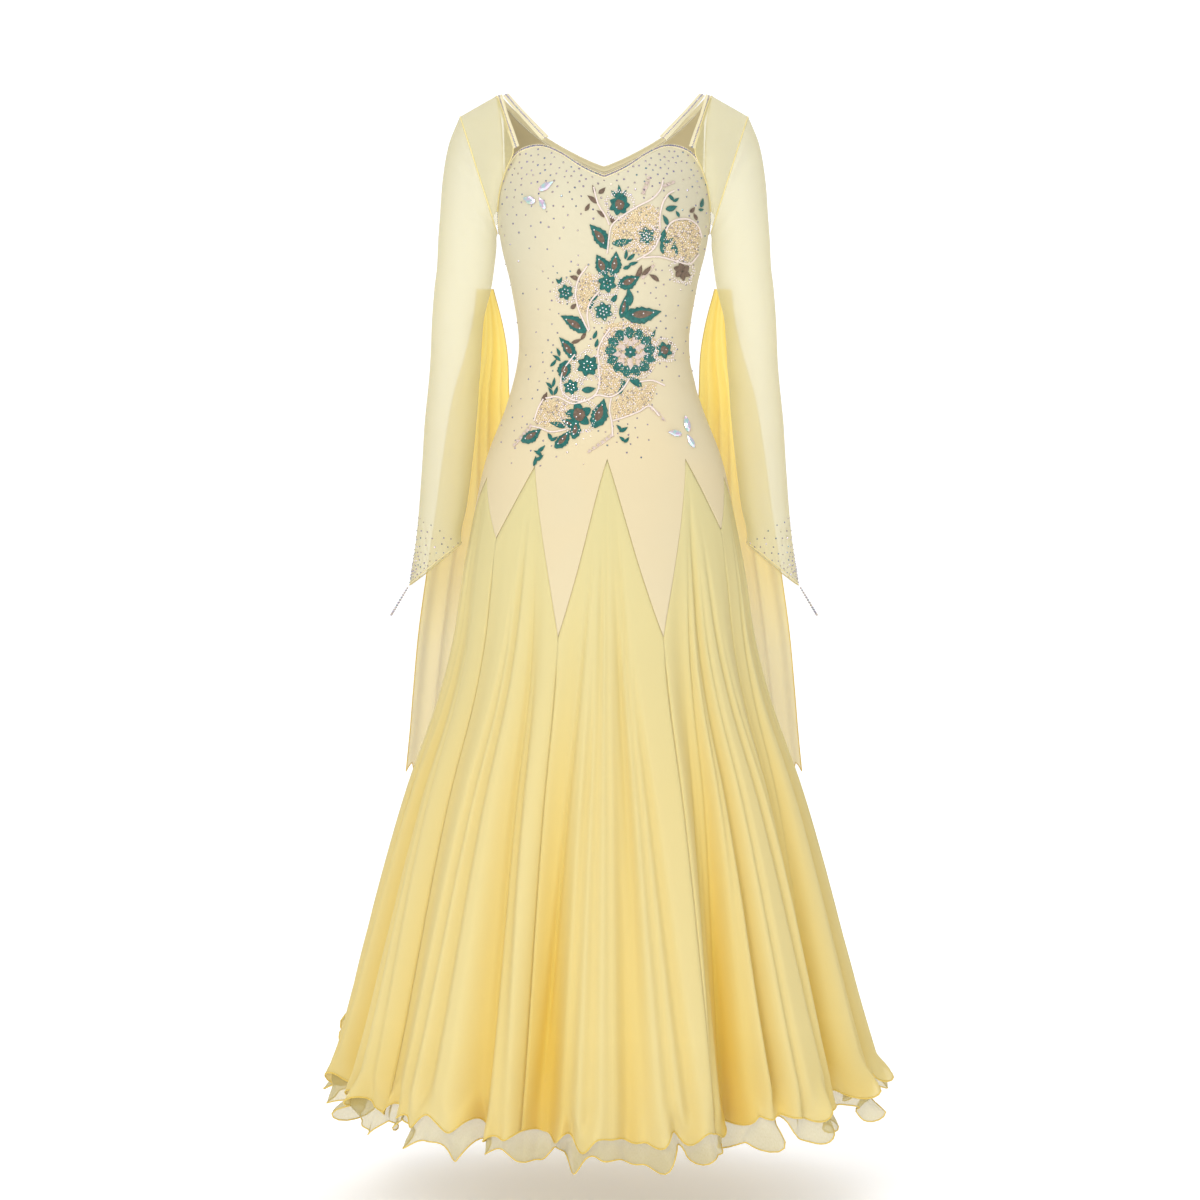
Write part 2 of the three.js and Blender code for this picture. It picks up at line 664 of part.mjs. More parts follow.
// A flat-backed drop stone, with facets up to a small table, in the plane of the bodice.
function stoneGeometry(long) {
  const rim = [];
  const table = [];
  for (const turn of spaced(0, 360, STONE.facets).slice(0, -1)) {
    const [s, c] = [Math.sin(turn * degrees), Math.cos(turn * degrees)];
    const taper = c > 0 ? 1 - STONE.taper * c : 1;
    rim.push(new THREE.Vector2((STONE.wide / 2) * s * taper, (long / 2) * c));
    table.push(rim.at(-1).clone().multiplyScalar(STONE.table));
  }
  const n = STONE.facets;
  const points = [
    ...rim.map((p) => new THREE.Vector3(p.x, p.y, 0)),
    ...rim.map((p) => new THREE.Vector3(p.x, p.y, STONE.high * STONE.girdle)),
    ...table.map((p) => new THREE.Vector3(p.x, p.y, STONE.high)),
    new THREE.Vector3(0, 0, 0),
    new THREE.Vector3(0, 0, STONE.high),
  ];
  const faces = [];
  for (let i = 0; i < n; i++) {
    const next = (i + 1) % n;
    faces.push(i, next, 3 * n, 3 * n + 1, 2 * n + next, 2 * n + i);
    for (const level of [0, n]) {
      faces.push(level + i, level + n + i, level + n + next);
      faces.push(level + i, level + n + next, level + next);
    }
  }
  const geometry = new THREE.BufferGeometry().setFromPoints(points);
  geometry.setIndex(faces);
  geometry.computeVertexNormals();
  return geometry;
}

function makeStones() {
  for (const stone of STONES) {
    const seat = shellVertex(angleAtX(stone.x, stone.z), stone.z);
    const mesh = addMesh(stone.name, stoneGeometry(stone.long), "crystal");
    const up = new THREE.Vector3(0, 0, 1).addScaledVector(seat.out, -seat.out.z).normalize();
    const across = up.clone().cross(seat.out);
    mesh.position.copy(moved(seat, STONE.lift).at);
    mesh.matrix.makeBasis(across, up, seat.out);
    mesh.quaternion.setFromRotationMatrix(mesh.matrix);
    mesh.rotateZ(stone.turn * degrees);
  }
}

makeBodiceFront();
makeBodiceBack();
GODETS.forEach((godet, i) => {
  const angles = godetAngles(godet, GODETS.at(i - 1));
  makeGodet(godet, angles);
  makeUnderGodet(godet, angles);
});
makeSleeves();
makeShoulders();
makeStraps();
makeFloats();
makeFingerLoops();
makeApplique();
makeStones();

export default dress;
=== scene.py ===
"""A full-length ballroom dance dress, in the hollow shape that it has when worn.

A crepe bodice runs down into long points over the hips. Chiffon godets are let in between the
points, over a longer organza layer with a frilled hem. The sleeves and shoulders are sheer mesh,
and a chiffon float hangs behind each arm. Metres in the scene, millimetres in the tables.
The front faces -Y, and left and right are the viewer's.
"""

import math
import random

import bmesh
import bpy
import numpy as np
from mathutils import Matrix, Vector


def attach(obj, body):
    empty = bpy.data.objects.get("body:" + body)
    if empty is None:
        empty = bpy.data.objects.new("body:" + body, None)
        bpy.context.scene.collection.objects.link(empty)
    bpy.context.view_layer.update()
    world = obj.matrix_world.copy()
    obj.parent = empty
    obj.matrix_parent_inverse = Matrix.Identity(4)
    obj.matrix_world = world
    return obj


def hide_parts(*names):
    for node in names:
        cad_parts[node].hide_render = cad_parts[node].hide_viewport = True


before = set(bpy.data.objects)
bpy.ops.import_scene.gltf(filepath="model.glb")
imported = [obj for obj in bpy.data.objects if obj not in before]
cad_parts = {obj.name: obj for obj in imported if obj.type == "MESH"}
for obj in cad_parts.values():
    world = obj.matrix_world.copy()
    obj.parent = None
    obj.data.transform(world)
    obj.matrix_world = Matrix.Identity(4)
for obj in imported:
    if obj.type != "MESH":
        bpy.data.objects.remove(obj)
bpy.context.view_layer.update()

MM = 0.001

# ---------------------------------------------------------------- sizes, in millimetres

# Rings of the dress: level, half width, depth in front, depth behind, squareness.
RINGS = [
    (6, 156, 14, 24, 2.2),
    (-20, 153, 45, 56, 2.2),
    (-45, 150, 68, 75, 2.3),
    (-90, 146, 91, 86, 2.3),
    (-150, 142.5, 107, 88, 2.3),
    (-200, 138, 105, 85, 2.3),
    (-260, 124, 94, 77, 2.3),
    (-340, 114, 84, 68, 2.3),
    (-409, 128, 91, 88, 2.3),
    (-490, 158, 108, 114, 2.2),
    (-563, 174, 133, 139, 2.1),
    (-640, 189, 161, 166, 2),
    (-731, 203, 190, 195, 2),
    (-812, 224, 217, 219, 2),
    (-925, 264, 251, 252, 2),
    (-1023, 293, 280, 280, 2),
    (-1132, 322, 309, 306, 2),
    (-1221, 346, 333, 329, 2),
    (-1319, 375, 356, 350, 2),
    (-1360, 386, 366, 360, 2),
]
SIDE, FRONT, BACK, SQUARE = 1, 2, 3, 4

CUP_X, CUP_LEVEL, CUP_OUT, CUP_WIDE, CUP_HIGH = 68, -152, 15, 40, 42

# Godets: name, angle and level of the apex, angle and level of the bodice point after it.
# Angles run from the front towards +X.
GODETS = [
    ("front", 1, -494, 22, -724),
    ("front_right", 40, -492, 59, -584),
    ("side_front_right", 75, -512, 92, -566),
    ("side_back_right", 109, -512, 127, -592),
    ("back_right", 145, -498, 163, -722),
    ("back", 181, -494, 199, -722),
    ("back_left", 216, -498, 234, -592),
    ("side_back_left", 252, -512, 272, -566),
    ("side_front_left", 290, -514, 309, -596),
    ("front_left", 328, -502, 343, -724),
]
RIGHT_SEAM, LEFT_SEAM = 92, -88
FOLD_GAIN, FOLD_GROWTH = 1.15, 1.2
SEAM_PULL, SEAM_WIDE = 2.2, 0.9  # how far a godet's seam is drawn in, and over what angle

# The large folds of the skirt: angle of the valley, depth at the hem, half width in degrees.
FOLDS = [
    (-84, 28, 8),
    (-70, 36, 8),
    (-50, 20, 8),
    (-27, 30, 6),
    (-13, 48, 8),
    (5, 22, 4.5),
    (28.5, 50, 7.5),
    (38, 20, 4),
    (60, 36, 9),
    (78, 28, 8),
    (99, 38, 9),
    (117, 26, 7),
    (136, 46, 9),
    (155, 28, 7),
    (172, 44, 9),
    (190, 24, 6),
    (208, 48, 9),
    (227, 28, 8),
    (245, 40, 9),
    (261, 30, 7),
]

# Smaller folds, each spreading from the apex of a godet: angle at the hem, depth, half width in
# degrees, and the share of the way down where it has come up.
SMALL_FOLDS = [
    (-80, 9, 2.6, 0.10),
    (-74, 6, 1.8, 0.30),
    (-61, 11, 2.4, 0.16),
    (-56, 6, 1.6, 0.05),
    (-43, 9, 2.2, 0.22),
    (-38, 12, 2.8, 0.08),
    (-25, 7, 1.8, 0.12),
    (-21, 11, 2.3, 0.30),
    (-15, 7, 1.5, 0.05),
    (-7, 12, 2.2, 0.34),
    (-3, 9, 2.4, 0.10),
    (1, 6, 1.6, 0.06),
    (8.5, 10, 2.2, 0.18),
    (13, 8, 1.9, 0.05),
    (17, 12, 2.6, 0.26),
    (22, 7, 1.5, 0.40),
    (29, 13, 2.2, 0.10),
    (33.5, 9, 1.9, 0.28),
    (38, 12, 2.6, 0.06),
    (43, 7, 1.6, 0.15),
    (52, 11, 2.4, 0.12),
    (57, 7, 1.7, 0.32),
    (61, 10, 2.2, 0.08),
    (70, 9, 2.3, 0.20),
    (76, 11, 2.6, 0.10),
    (89, 8, 2.2, 0.14),
    (95, 11, 2.4, 0.30),
    (106, 9, 2.2, 0.08),
    (112, 12, 2.6, 0.18),
    (124, 8, 2.0, 0.28),
    (131, 11, 2.4, 0.08),
    (142, 10, 2.2, 0.14),
    (149, 12, 2.6, 0.24),
    (153, 7, 1.7, 0.06),
    (162, 11, 2.3, 0.12),
    (168, 8, 2.0, 0.30),
    (179, 12, 2.6, 0.08),
    (184, 8, 1.9, 0.16),
    (198, 11, 2.4, 0.26),
    (203, 8, 1.8, 0.08),
    (214, 9, 2.2, 0.14),
    (220, 12, 2.6, 0.08),
    (233, 10, 2.2, 0.22),
    (239, 8, 2.0, 0.10),
    (251, 11, 2.4, 0.14),
    (256, 7, 1.7, 0.30),
    (268, 10, 2.4, 0.08),
    (273, 7, 1.8, 0.20),
]

CHIFFON_HEM = (-1332, -1306, -1330)  # front, sides, back
ORGANZA_HEM = (-1357, -1330, -1354)
ORGANZA_TOP, ORGANZA_INSET = -742, 9

# The bodice's upper edge from the centre to the side: angle, level (and foot of the column).
FRONT_TOP = [
    (0, -125),
    (9, -112),
    (20, -92),
    (30, -81),
    (41, -82),
    (51, -90),
    (63, -112),
    (76, -142),
    (90, -184),
]
BACK_TOP = [
    (0, -82, 0),
    (31, -42, 30),
    (60, -1, 52),
    (66, -95, 63),
    (76, -140, 76),
    (90, -184, 90),
    (94, -184, 94),
]
NECK_FOOT, NECK_BAND, BACK_LEAN = 52, 9, 0.7
HIP_LEVEL = -482

# The left sleeve: middle x, y and level, half width, half depth, lift of the outer side.
SLEEVE = [
    (-168, 1, -108, 25, 46, 78),
    (-176, 1, -130, 32, 43, 62),
    (-180, 0, -160, 36, 41, 45),
    (-183, 0, -196, 37, 39, 28),
    (-188, -1, -248, 37, 38, 12),
    (-195.5, -2, -302, 34.5, 37, 2),
    (-199, -4, -369, 34, 36, 0),
    (-206, -7, -450, 34.5, 35, 0),
    (-214, -10, -543, 32, 33, 0),
    (-220.5, -12, -590, 30.5, 32, -8),
    (-225, -13, -629, 34.5, 34, -28),
]

# The left shoulder piece: angle on the armhole, then the edge by the neck.
SHOULDER = [
    (142, -142, -27, -161),
    (112, -138, -46, -136),
    (90, -129, -65, -111),
    (68, -119, -77, -87),
    (42, -130, -43, -42),
    (18, -141, -10, -8),
    (-2, -145, 9, -1),
    (-24, -143, 27, -8),
    (-54, -139, 48, -40),
    (-90, -138, 61, -98),
    (-118, -141, 47, -142),
    (-145, -142.5, 25, -169),
]
SHOULDER_BULGE = 5

# Straps from the neckline to the shoulder: x, y, level, width.
INNER_STRAP = [(-77, -93, -75, 9), (-94, -74, -54, 8), (-113, -45, -29, 7), (-131, -6, -2, 6)]
OUTER_STRAP = [(-115, -77, -84, 7), (-122, -60, -62, 7), (-131, -35, -35, 7), (-140, -4, -3, 7)]

# The left float: level, x and y of the edge on the sleeve, x and y of the free edge.
FLOAT = [
    (-256, -172, 42, -150, 38),
    (-302, -178, 43, -138, 40),
    (-345, -188, 43, -131, 44),
    (-400, -204, 43, -129, 52),
    (-470, -216, 42, -124, 84),
    (-560, -228, 42, -116, 122),
    (-645, -241, 46, -122, 146),
    (-722, -252, 54, -130, 164),
    (-800, -260, 66, -142, 184),
    (-860, -266, 82, -152, 202),
    (-925, -274, 104, -160, 220),
]
FLOAT_OUTER_HEM, FLOAT_INNER_HEM = -922, -846

# ---------------------------------------------------------------- reading the tables


def smooth_read(table, column, value, key=0):
    """A smooth curve through one column of a table, read at values of another column."""
    rows = np.array(table, float)
    k, y = rows[:, key], rows[:, column]
    value = np.asarray(value, float)
    way = 1 if k[-1] > k[0] else -1
    last = len(k) - 1
    i = np.clip(np.searchsorted(way * k, way * value, side="left") - 1, 0, last - 1)
    before, after = np.maximum(i - 1, 0), np.minimum(i + 2, last)
    span, rise = k[i + 1] - k[i], y[i + 1] - y[i]
    first = (y[i + 1] - y[before]) / (k[i + 1] - k[before]) * span
    second = (y[after] - y[i]) / (k[after] - k[i]) * span
    t = np.clip((value - k[i]) / span, 0, 1)
    bend = first + second - 2 * rise
    return y[i] + t * (first + t * (rise - first - bend + t * bend))


def row_read(table, column, row):
    """The same, by row number."""
    numbered = [(i, r[column]) for i, r in enumerate(table)]
    return smooth_read(numbered, 1, row)


def wrapped(angle, start):
    return start + np.mod(np.asarray(angle, float) - start, 360)


def ramp(value, low, high):
    """0 at low and 1 at high, soft at both ends."""
    t = np.clip((np.asarray(value, float) - low) / (high - low), 0, 1)
    return t * t * (3 - 2 * t)


ZIGZAG = [(a, z) for g in GODETS for a, z in ((g[1], g[2]), (g[3], g[4]))]


def zigzag_level(angle):
    angles = [a for a, z in ZIGZAG] + [ZIGZAG[0][0] + 360]
    levels = [z for a, z in ZIGZAG] + [ZIGZAG[0][1]]
    return np.interp(wrapped(angle, ZIGZAG[0][0]), angles, levels)


def hem_level(hem, angle):
    front, side, back = hem
    turn = np.radians(angle)
    end = np.where(np.cos(turn) > 0, front, back)
    return end + (side - end) * np.sin(turn) ** 2


# ---------------------------------------------------------------- the dress's own surface


def nearest_apex(angle):
    """The angle of the apex that the small folds at this angle spread from."""
    best = min(GODETS, key=lambda g: abs(float(wrapped(angle - g[1], -180))))
    return angle - float(wrapped(angle - best[1], -180))


def hollow(away):
    """A soft trough: 1 in the middle and 0 beyond one half width."""
    away = np.abs(away)
    return np.where(away < 1, 0.5 * (1 + np.cos(math.pi * np.minimum(away, 1))), 0)


def fold_depth(angle, z):
    """How far the folds draw the skirt in at each place."""
    top = zigzag_level(angle)
    down = np.clip((top - z) / (top - CHIFFON_HEM[1]), 0, 1.05)
    depth = np.zeros_like(down)
    if not np.any(down > 0):
        return depth
    for at, deep, wide in FOLDS:
        side = wrapped(angle - at, -180)
        depth += FOLD_GAIN * deep * hollow(side / wide) * down**FOLD_GROWTH
    for at, deep, wide, start in SMALL_FOLDS:
        apex = nearest_apex(at)
        path = apex + (at - apex) * np.clip(down, 0.0, 1) ** 0.4
        grown = ramp(down, start * 0.5, start + 0.16) * (0.35 + 0.65 * down)
        narrow = wide * (0.75 + 0.35 * down)
        depth += deep * hollow(wrapped(angle - path, -180) / narrow) * grown
    started = ramp(down, 0.02, 0.1)
    for _, _, _, point, _ in GODETS:
        depth += SEAM_PULL * hollow(wrapped(angle - point, -180) / SEAM_WIDE) * started
    return depth


def dress_surface(angle, z, inset=0.0):
    """Places on the outside of the bodice and skirt, in millimetres."""
    angle, z = np.asarray(angle, float), np.asarray(z, float)
    s, c = np.sin(np.radians(angle)), np.cos(np.radians(angle))
    power = 2 / smooth_read(RINGS, SQUARE, z)
    deep = np.where(c > 0, smooth_read(RINGS, FRONT, z), smooth_read(RINGS, BACK, z))
    x = smooth_read(RINGS, SIDE, z) * np.sign(s) * np.abs(s) ** power
    y = -deep * np.sign(c) * np.abs(c) ** power
    drawn_in = fold_depth(angle, z) + inset
    x, y = x - drawn_in * s, y + drawn_in * c
    off, level = (np.abs(x) - CUP_X) / CUP_WIDE, (z - CUP_LEVEL) / CUP_HIGH
    cup = CUP_OUT * np.exp(-0.5 * (off**2 + level**2)) * np.abs(c) ** 0.3
    y = y - np.where(c > 0, cup, 0)
    return np.stack([x, y, z], axis=-1)


# Creases of the close bodice: from x, level to x, level, depth, half width.
FRONT_CREASES = [
    (-112, -236, -52, -262, 1.1, 9),
    (-116, -300, -66, -312, 1.0, 8),
    (-118, -338, -80, -344, 0.9, 7),
    (-124, -376, -88, -366, 1.1, 9),
    (104, -232, 70, -258, 0.9, 8),
    (113, -290, 84, -304, 1.1, 8),
    (117, -322, 88, -330, 0.9, 7),
    (122, -362, 86, -352, 1.2, 9),
    (134, -402, 92, -384, 1.0, 10),
    (-136, -420, -96, -404, 1.0, 10),
    (6, -140, 3, -214, 2.2, 16),
    (-66, -206, -24, -222, 1.0, 12),
    (28, -222, 70, -208, 1.0, 12),
]


def crease_depth(x, z, creases):
    depth = np.zeros_like(x)
    for ax, az, bx, bz, deep, wide in creases:
        long = math.hypot(bx - ax, bz - az)
        ux, uz = (bx - ax) / long, (bz - az) / long
        along = ((x - ax) * ux + (z - az) * uz) / long
        aside = (x - ax) * uz - (z - az) * ux
        depth += deep * hollow(aside / wide) * hollow((along - 0.5) / 0.7)
    return depth


def front_surface(angle, z):
    places = dress_surface(angle, z)
    depth = crease_depth(places[..., 0], places[..., 2], FRONT_CREASES)
    places[..., 1] += depth * np.cos(np.radians(angle))
    places[..., 0] -= depth * np.sin(np.radians(angle))
    return places


def angle_at(x, z):
    """The angle on the front at which the bodice has this x."""
    low, high = np.zeros_like(x), np.full_like(x, 90.0)
    for _ in range(30):
        middle = (low + high) / 2
        inside = dress_surface(middle, z)[..., 0] < np.abs(x)
        low, high = np.where(inside, middle, low), np.where(inside, high, middle)
    return low * np.sign(x)


def unit(ways):
    return ways / np.linalg.norm(ways, axis=-1, keepdims=True)


def lifted_front(angle, z, lift):
    """Places on the bodice front, lifted along its normals, with those normals."""
    across = front_surface(angle + 0.4, z) - front_surface(angle - 0.4, z)
    up = front_surface(angle, z + 0.8) - front_surface(angle, z - 0.8)
    out = unit(np.cross(across, up))
    return front_surface(angle, z) + out * np.asarray(lift)[..., None], out


def on_front(x, z, lift):
    """The same, by x and level."""
    x, z = np.asarray(x, float), np.asarray(z, float)
    return lifted_front(angle_at(x, z), z, lift)


# ---------------------------------------------------------------- making pieces


def finish_piece(piece, materials, nodes=(), smooth=True):
    for made in materials:
        piece.data.materials.append(made)
    if smooth:
        piece.data.polygons.foreach_set("use_smooth", [True] * len(piece.data.polygons))
    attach(piece, "root")
    if nodes:
        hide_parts(*nodes)
    return piece


def new_object(name, mesh):
    made = bpy.data.objects.new(name.replace(" ", "_"), mesh)
    bpy.context.scene.collection.objects.link(made)
    return made


def cloth(name, columns, rows, surface, size, wall, materials, nodes=(), ring=False):
    """A sheet of cloth. surface takes shares across and down and gives millimetre places and
    marks, which are kept on the mesh for its material."""
    bm = bmesh.new()
    bmesh.ops.create_grid(bm, x_segments=columns, y_segments=rows, size=1)
    across = np.array([(v.co.x + 1) / 2 for v in bm.verts])
    down = np.array([(1 - v.co.y) / 2 for v in bm.verts])
    weave = bm.loops.layers.uv.new("weave")
    for face in bm.faces:
        face.smooth = True
        for corner in face.loops:
            flat = corner.vert.co
            corner[weave].uv = ((flat.x + 1) / 2 * size[0], (flat.y + 1) / 2 * size[1])
    places, marks = surface(across, down)
    layers = [(bm.verts.layers.float.new(key), values) for key, values in marks.items()]
    for i, vert in enumerate(bm.verts):
        vert.co = places[i] * MM
        for layer, values in layers:
            vert[layer] = float(values[i])
    if ring:
        bmesh.ops.remove_doubles(bm, verts=bm.verts, dist=1e-6)
    mesh = bpy.data.meshes.new(name)
    bm.to_mesh(mesh)
    bm.free()
    piece = new_object(f"{name} cloth", mesh)
    if wall:
        thick = piece.modifiers.new("wall", "SOLIDIFY")
        thick.thickness = wall
        thick.offset = -1
        thick.material_offset = len(materials) - 1
        thick.material_offset_rim = 0
    return finish_piece(piece, materials, nodes)


def tubes(name, paths, radius, materials, nodes=(), closed=False):
    """Round cords along paths in millimetres, as one mesh."""
    curve = bpy.data.curves.new(name, "CURVE")
    curve.dimensions = "3D"
    curve.bevel_depth = radius * MM
    curve.bevel_resolution = 1
    curve.use_fill_caps = True
    for path in paths:
        line = curve.splines.new("POLY")
        line.points.add(len(path) - 1)
        for point, place in zip(line.points, path):
            point.co = (*(np.asarray(place) * MM), 1)
        line.use_cyclic_u = closed
    shaped = bpy.data.objects.new(name + " line", curve)
    bpy.context.scene.collection.objects.link(shaped)
    seen = shaped.evaluated_get(bpy.context.evaluated_depsgraph_get())
    mesh = bpy.data.meshes.new_from_object(seen)
    bpy.data.objects.remove(shaped)
    mesh.name = name
    mesh.materials.clear()
    return finish_piece(new_object(name, mesh), materials, nodes)


def scatter(name, template, seats, materials, nodes=(), smooth=False):
    """Copies of a small mesh as one piece. A seat is a place, the way up, a turn and a size."""
    shape = np.array([v.co for v in template.vertices])
    faces = [tuple(f.vertices) for f in template.polygons]
    places, copies = [], []
    for place, out, turn, size in seats:
        pose = Vector(out).to_track_quat("Z", "Y").to_matrix() @ Matrix.Rotation(turn, 3, "Z")
        known = len(shape) * len(places)
        places.append(np.asarray(place) * MM + size * shape @ np.array(pose).T)
        copies += [tuple(known + v for v in face) for face in faces]
    mesh = bpy.data.meshes.new(name)
    mesh.from_pydata(np.concatenate(places), [], copies)
    return finish_piece(new_object(name, mesh), materials, nodes, smooth)


def stone_mesh():
    """A round flat-backed stone, 1 mm across: a girdle, a crown of facets and a table."""
    bm = bmesh.new()
    bmesh.ops.create_cone(
        bm, cap_ends=True, segments=8, radius1=0.5 * MM, radius2=0.26 * MM, depth=0.34 * MM
    )
    bmesh.ops.translate(bm, verts=bm.verts, vec=(0, 0, 0.17 * MM))
    mesh = bpy.data.meshes.new("round stone")
    bm.to_mesh(mesh)
    bm.free()
    return mesh


def bead_mesh():
    bm = bmesh.new()
    bmesh.ops.create_uvsphere(bm, u_segments=7, v_segments=4, radius=0.5 * MM)
    mesh = bpy.data.meshes.new("bead")
    bm.to_mesh(mesh)
    bm.free()
    return mesh


# ---------------------------------------------------------------- materials


class Shader:
    """Short calls for building one node material."""

    def __init__(self, name):
        self.material = bpy.data.materials.new(name)
        self.material.use_nodes = True
        self.nodes = self.material.node_tree.nodes
        self.links = self.material.node_tree.links
        self.nodes.clear()
        self.out = self.nodes.new("ShaderNodeOutputMaterial")

    def add(self, kind, **settings):
        node = self.nodes.new("ShaderNode" + kind)
        for key, value in settings.items():
            setattr(node, key, value)
        return node

    def set(self, node, **values):
        for key, value in values.items():
            self.join(value, node.inputs[key.replace("_", " ")])
        return node

    def join(self, value, socket):
        if isinstance(value, bpy.types.NodeSocket):
            self.links.new(value, socket)
        else:
            socket.default_value = value

    def coordinates(self, kind="Object"):
        if kind == "weave":
            return self.add("UVMap", uv_map="weave").outputs[0]
        return self.add("TexCoord").outputs[kind]

    def scaled(self, vector, scale):
        return self.set(self.add("Mapping"), Vector=vector, Scale=scale).outputs[0]

    def noise(self, vector, scale, detail):
        node = self.set(self.add("TexNoise"), Vector=vector, Scale=scale, Detail=detail)
        return node.outputs["Fac"]

    def wave(self, vector, direction):
        node = self.set(self.add("TexWave", bands_direction=direction), Vector=vector, Scale=1.0)
        return node.outputs["Fac"]

    def mark(self, name):
        return self.add("Attribute", attribute_name=name).outputs["Fac"]

    def math(self, operation, a, b=0.0, clamp=False):
        node = self.add("Math", operation=operation, use_clamp=clamp)
        self.join(a, node.inputs[0])
        self.join(b, node.inputs[1])
        return node.outputs[0]

    def between(self, value, low, high, to_low=0.0, to_high=1.0):
        ends = {"From_Min": low, "From_Max": high, "To_Min": to_low, "To_Max": to_high}
        return self.set(self.add("MapRange"), Value=value, **ends).outputs[0]

    def colour(self, share, first, second):
        node = self.add("Mix", data_type="RGBA")
        self.join(share, node.inputs["Factor"])
        for value, index in ((first, 6), (second, 7)):
            self.join(tint(value) if isinstance(value, str) else value, node.inputs[index])
        return node.outputs[2]

    def bump(self, height, distance, strength):
        node = self.set(self.add("Bump"), Height=height, Distance=distance, Strength=strength)
        return node.outputs["Normal"]

    def crinkle(self, across, along):
        """The fine lengthwise crinkle of a thin woven cloth."""
        return self.noise(self.scaled(self.coordinates("weave"), (across, along, 1)), 1.0, 2.0)

    def body(self, base, roughness, normal=None, **fixed):
        """The main shader. A plain number is set on the shader's own socket."""
        if normal is not None:
            fixed["Normal"] = normal
        made = self.set(self.add("BsdfPrincipled"), Base_Color=base, Roughness=roughness, **fixed)
        return made.outputs[0]

    def sheer(self, body, glow, glow_share, clear_share):
        """A cloth that glows with the light behind it and is partly clear."""
        through = self.add("BsdfTranslucent")
        self.join(glow, through.inputs["Color"])
        woven = self.mix(glow_share, body, through.outputs[0])
        return self.surface(self.mix(clear_share, woven, self.add("BsdfTransparent").outputs[0]))

    def surface(self, shader):
        self.links.new(shader, self.out.inputs["Surface"])
        return self.material

    def mix(self, share, first, second):
        node = self.add("MixShader")
        self.join(share, node.inputs[0])
        self.links.new(first, node.inputs[1])
        self.links.new(second, node.inputs[2])
        return node.outputs[0]


def tint(text):
    """A screen colour such as F4E2A0 as the scene's linear colour."""
    parts = [int(text[i : i + 2], 16) / 255 for i in (0, 2, 4)]
    return (*[c / 12.92 if c <= 0.04045 else ((c + 0.055) / 1.055) ** 2.4 for c in parts], 1)


def chiffon_material():
    s = Shader("pale yellow chiffon")
    low, crinkle = s.mark("down"), s.crinkle(900, 60)
    lit = s.colour(s.between(low, 0.0, 0.5), "F0E8B4", "F6E8AA")
    # Painted shade: where the fold_shade mark is high, down in the fold valleys, the colour turns a
    # deeper gold.
    base = s.colour(s.mark("fold_shade"), lit, "F7DA6C")
    base = s.colour(s.between(crinkle, 0.3, 0.7, 0.0, 0.06), base, "E0C478")
    sheen = {"Sheen_Weight": 0.12, "Sheen_Roughness": 0.45, "Specular_IOR_Level": 0.18}
    body = s.body(base, 0.82, s.bump(crinkle, 0.0004, 0.25), **sheen)
    return s.sheer(body, s.colour(0.4, base, "FBEEB0"), 0.3, s.between(low, 0.86, 1.0, 0.05, 0.30))


def float_material():
    s = Shader("chiffon of the floats")
    low = s.mark("down")
    # Painted shade: the fold_shade mark turns the upper float a deeper gold in its gather valleys.
    upper_with_fold_shade = s.colour(s.mark("fold_shade"), "F8E27A", "F1CE4A")
    base = s.colour(s.between(low, 0.4, 0.75), upper_with_fold_shade, "E4D59A")
    crinkle = s.bump(s.crinkle(900, 60), 0.0004, 0.25)
    body = s.body(base, 0.82, crinkle, Specular_IOR_Level=0.18)
    clear = s.between(low, 0.25, 0.75, 0.06, 0.24)
    return s.sheer(body, s.colour(0.5, base, "FBE074"), 0.42, clear)


def organza_material():
    s = Shader("sheer organza")
    base = s.colour(s.between(s.crinkle(1400, 90), 0.35, 0.65), "D2C58C", "C3B472")
    body = s.body(base, 0.42, Sheen_Weight=0.25, Sheen_Roughness=0.3)
    return s.sheer(body, tint("DECF8A"), 0.4, 0.36)


def mesh_material():
    s = Shader("stretch mesh")
    weave = s.scaled(s.coordinates("weave"), (520, 520, 1))
    knit = s.math("MULTIPLY", s.wave(weave, "X"), s.wave(weave, "Y"))
    body = s.body(s.colour(s.mark("shade"), "E9E4C4", "D8CD8C"), 0.8, Sheen_Weight=0.15)
    return s.sheer(body, tint("EEE8C6"), 0.45, s.between(knit, 0, 1, 0.36, 0.52))


def crepe_material(name, light, dark):
    """Matt crepe, a little warmer towards the hips. The change of colour with height is painted
    light, standing in for how the lamps fall on the bodice from the bust down to the hips.
    """
    s = Shader(name)
    place = s.coordinates()
    parts = s.set(s.add("SeparateXYZ"), Vector=place)
    uneven = s.between(s.noise(place, 9.0, 2.0), 0.3, 0.7, -0.15, 0.15)
    # Painted light: the share of the lower colour grows with depth below the bust, with an uneven
    # tone on top.
    low = s.math("ADD", s.between(parts.outputs[2], -0.15, -0.52), uneven, True)
    sheen = {"Sheen_Weight": 0.18, "Sheen_Roughness": 0.4, "Specular_IOR_Level": 0.25}
    grain = s.bump(s.noise(place, 1500.0, 2.0), 0.0003, 0.3)
    return s.surface(s.body(s.colour(low, light, dark), 0.72, grain, **sheen))


def plain_material(name, first, second, roughness, scale, coat=0.0):
    """Thread or beads, mottled between two colours."""
    s = Shader(name)
    base = s.colour(s.between(s.noise(s.coordinates(), scale, 2.0), 0.3, 0.7), first, second)
    return s.surface(s.body(base, roughness, Coat_Weight=coat))


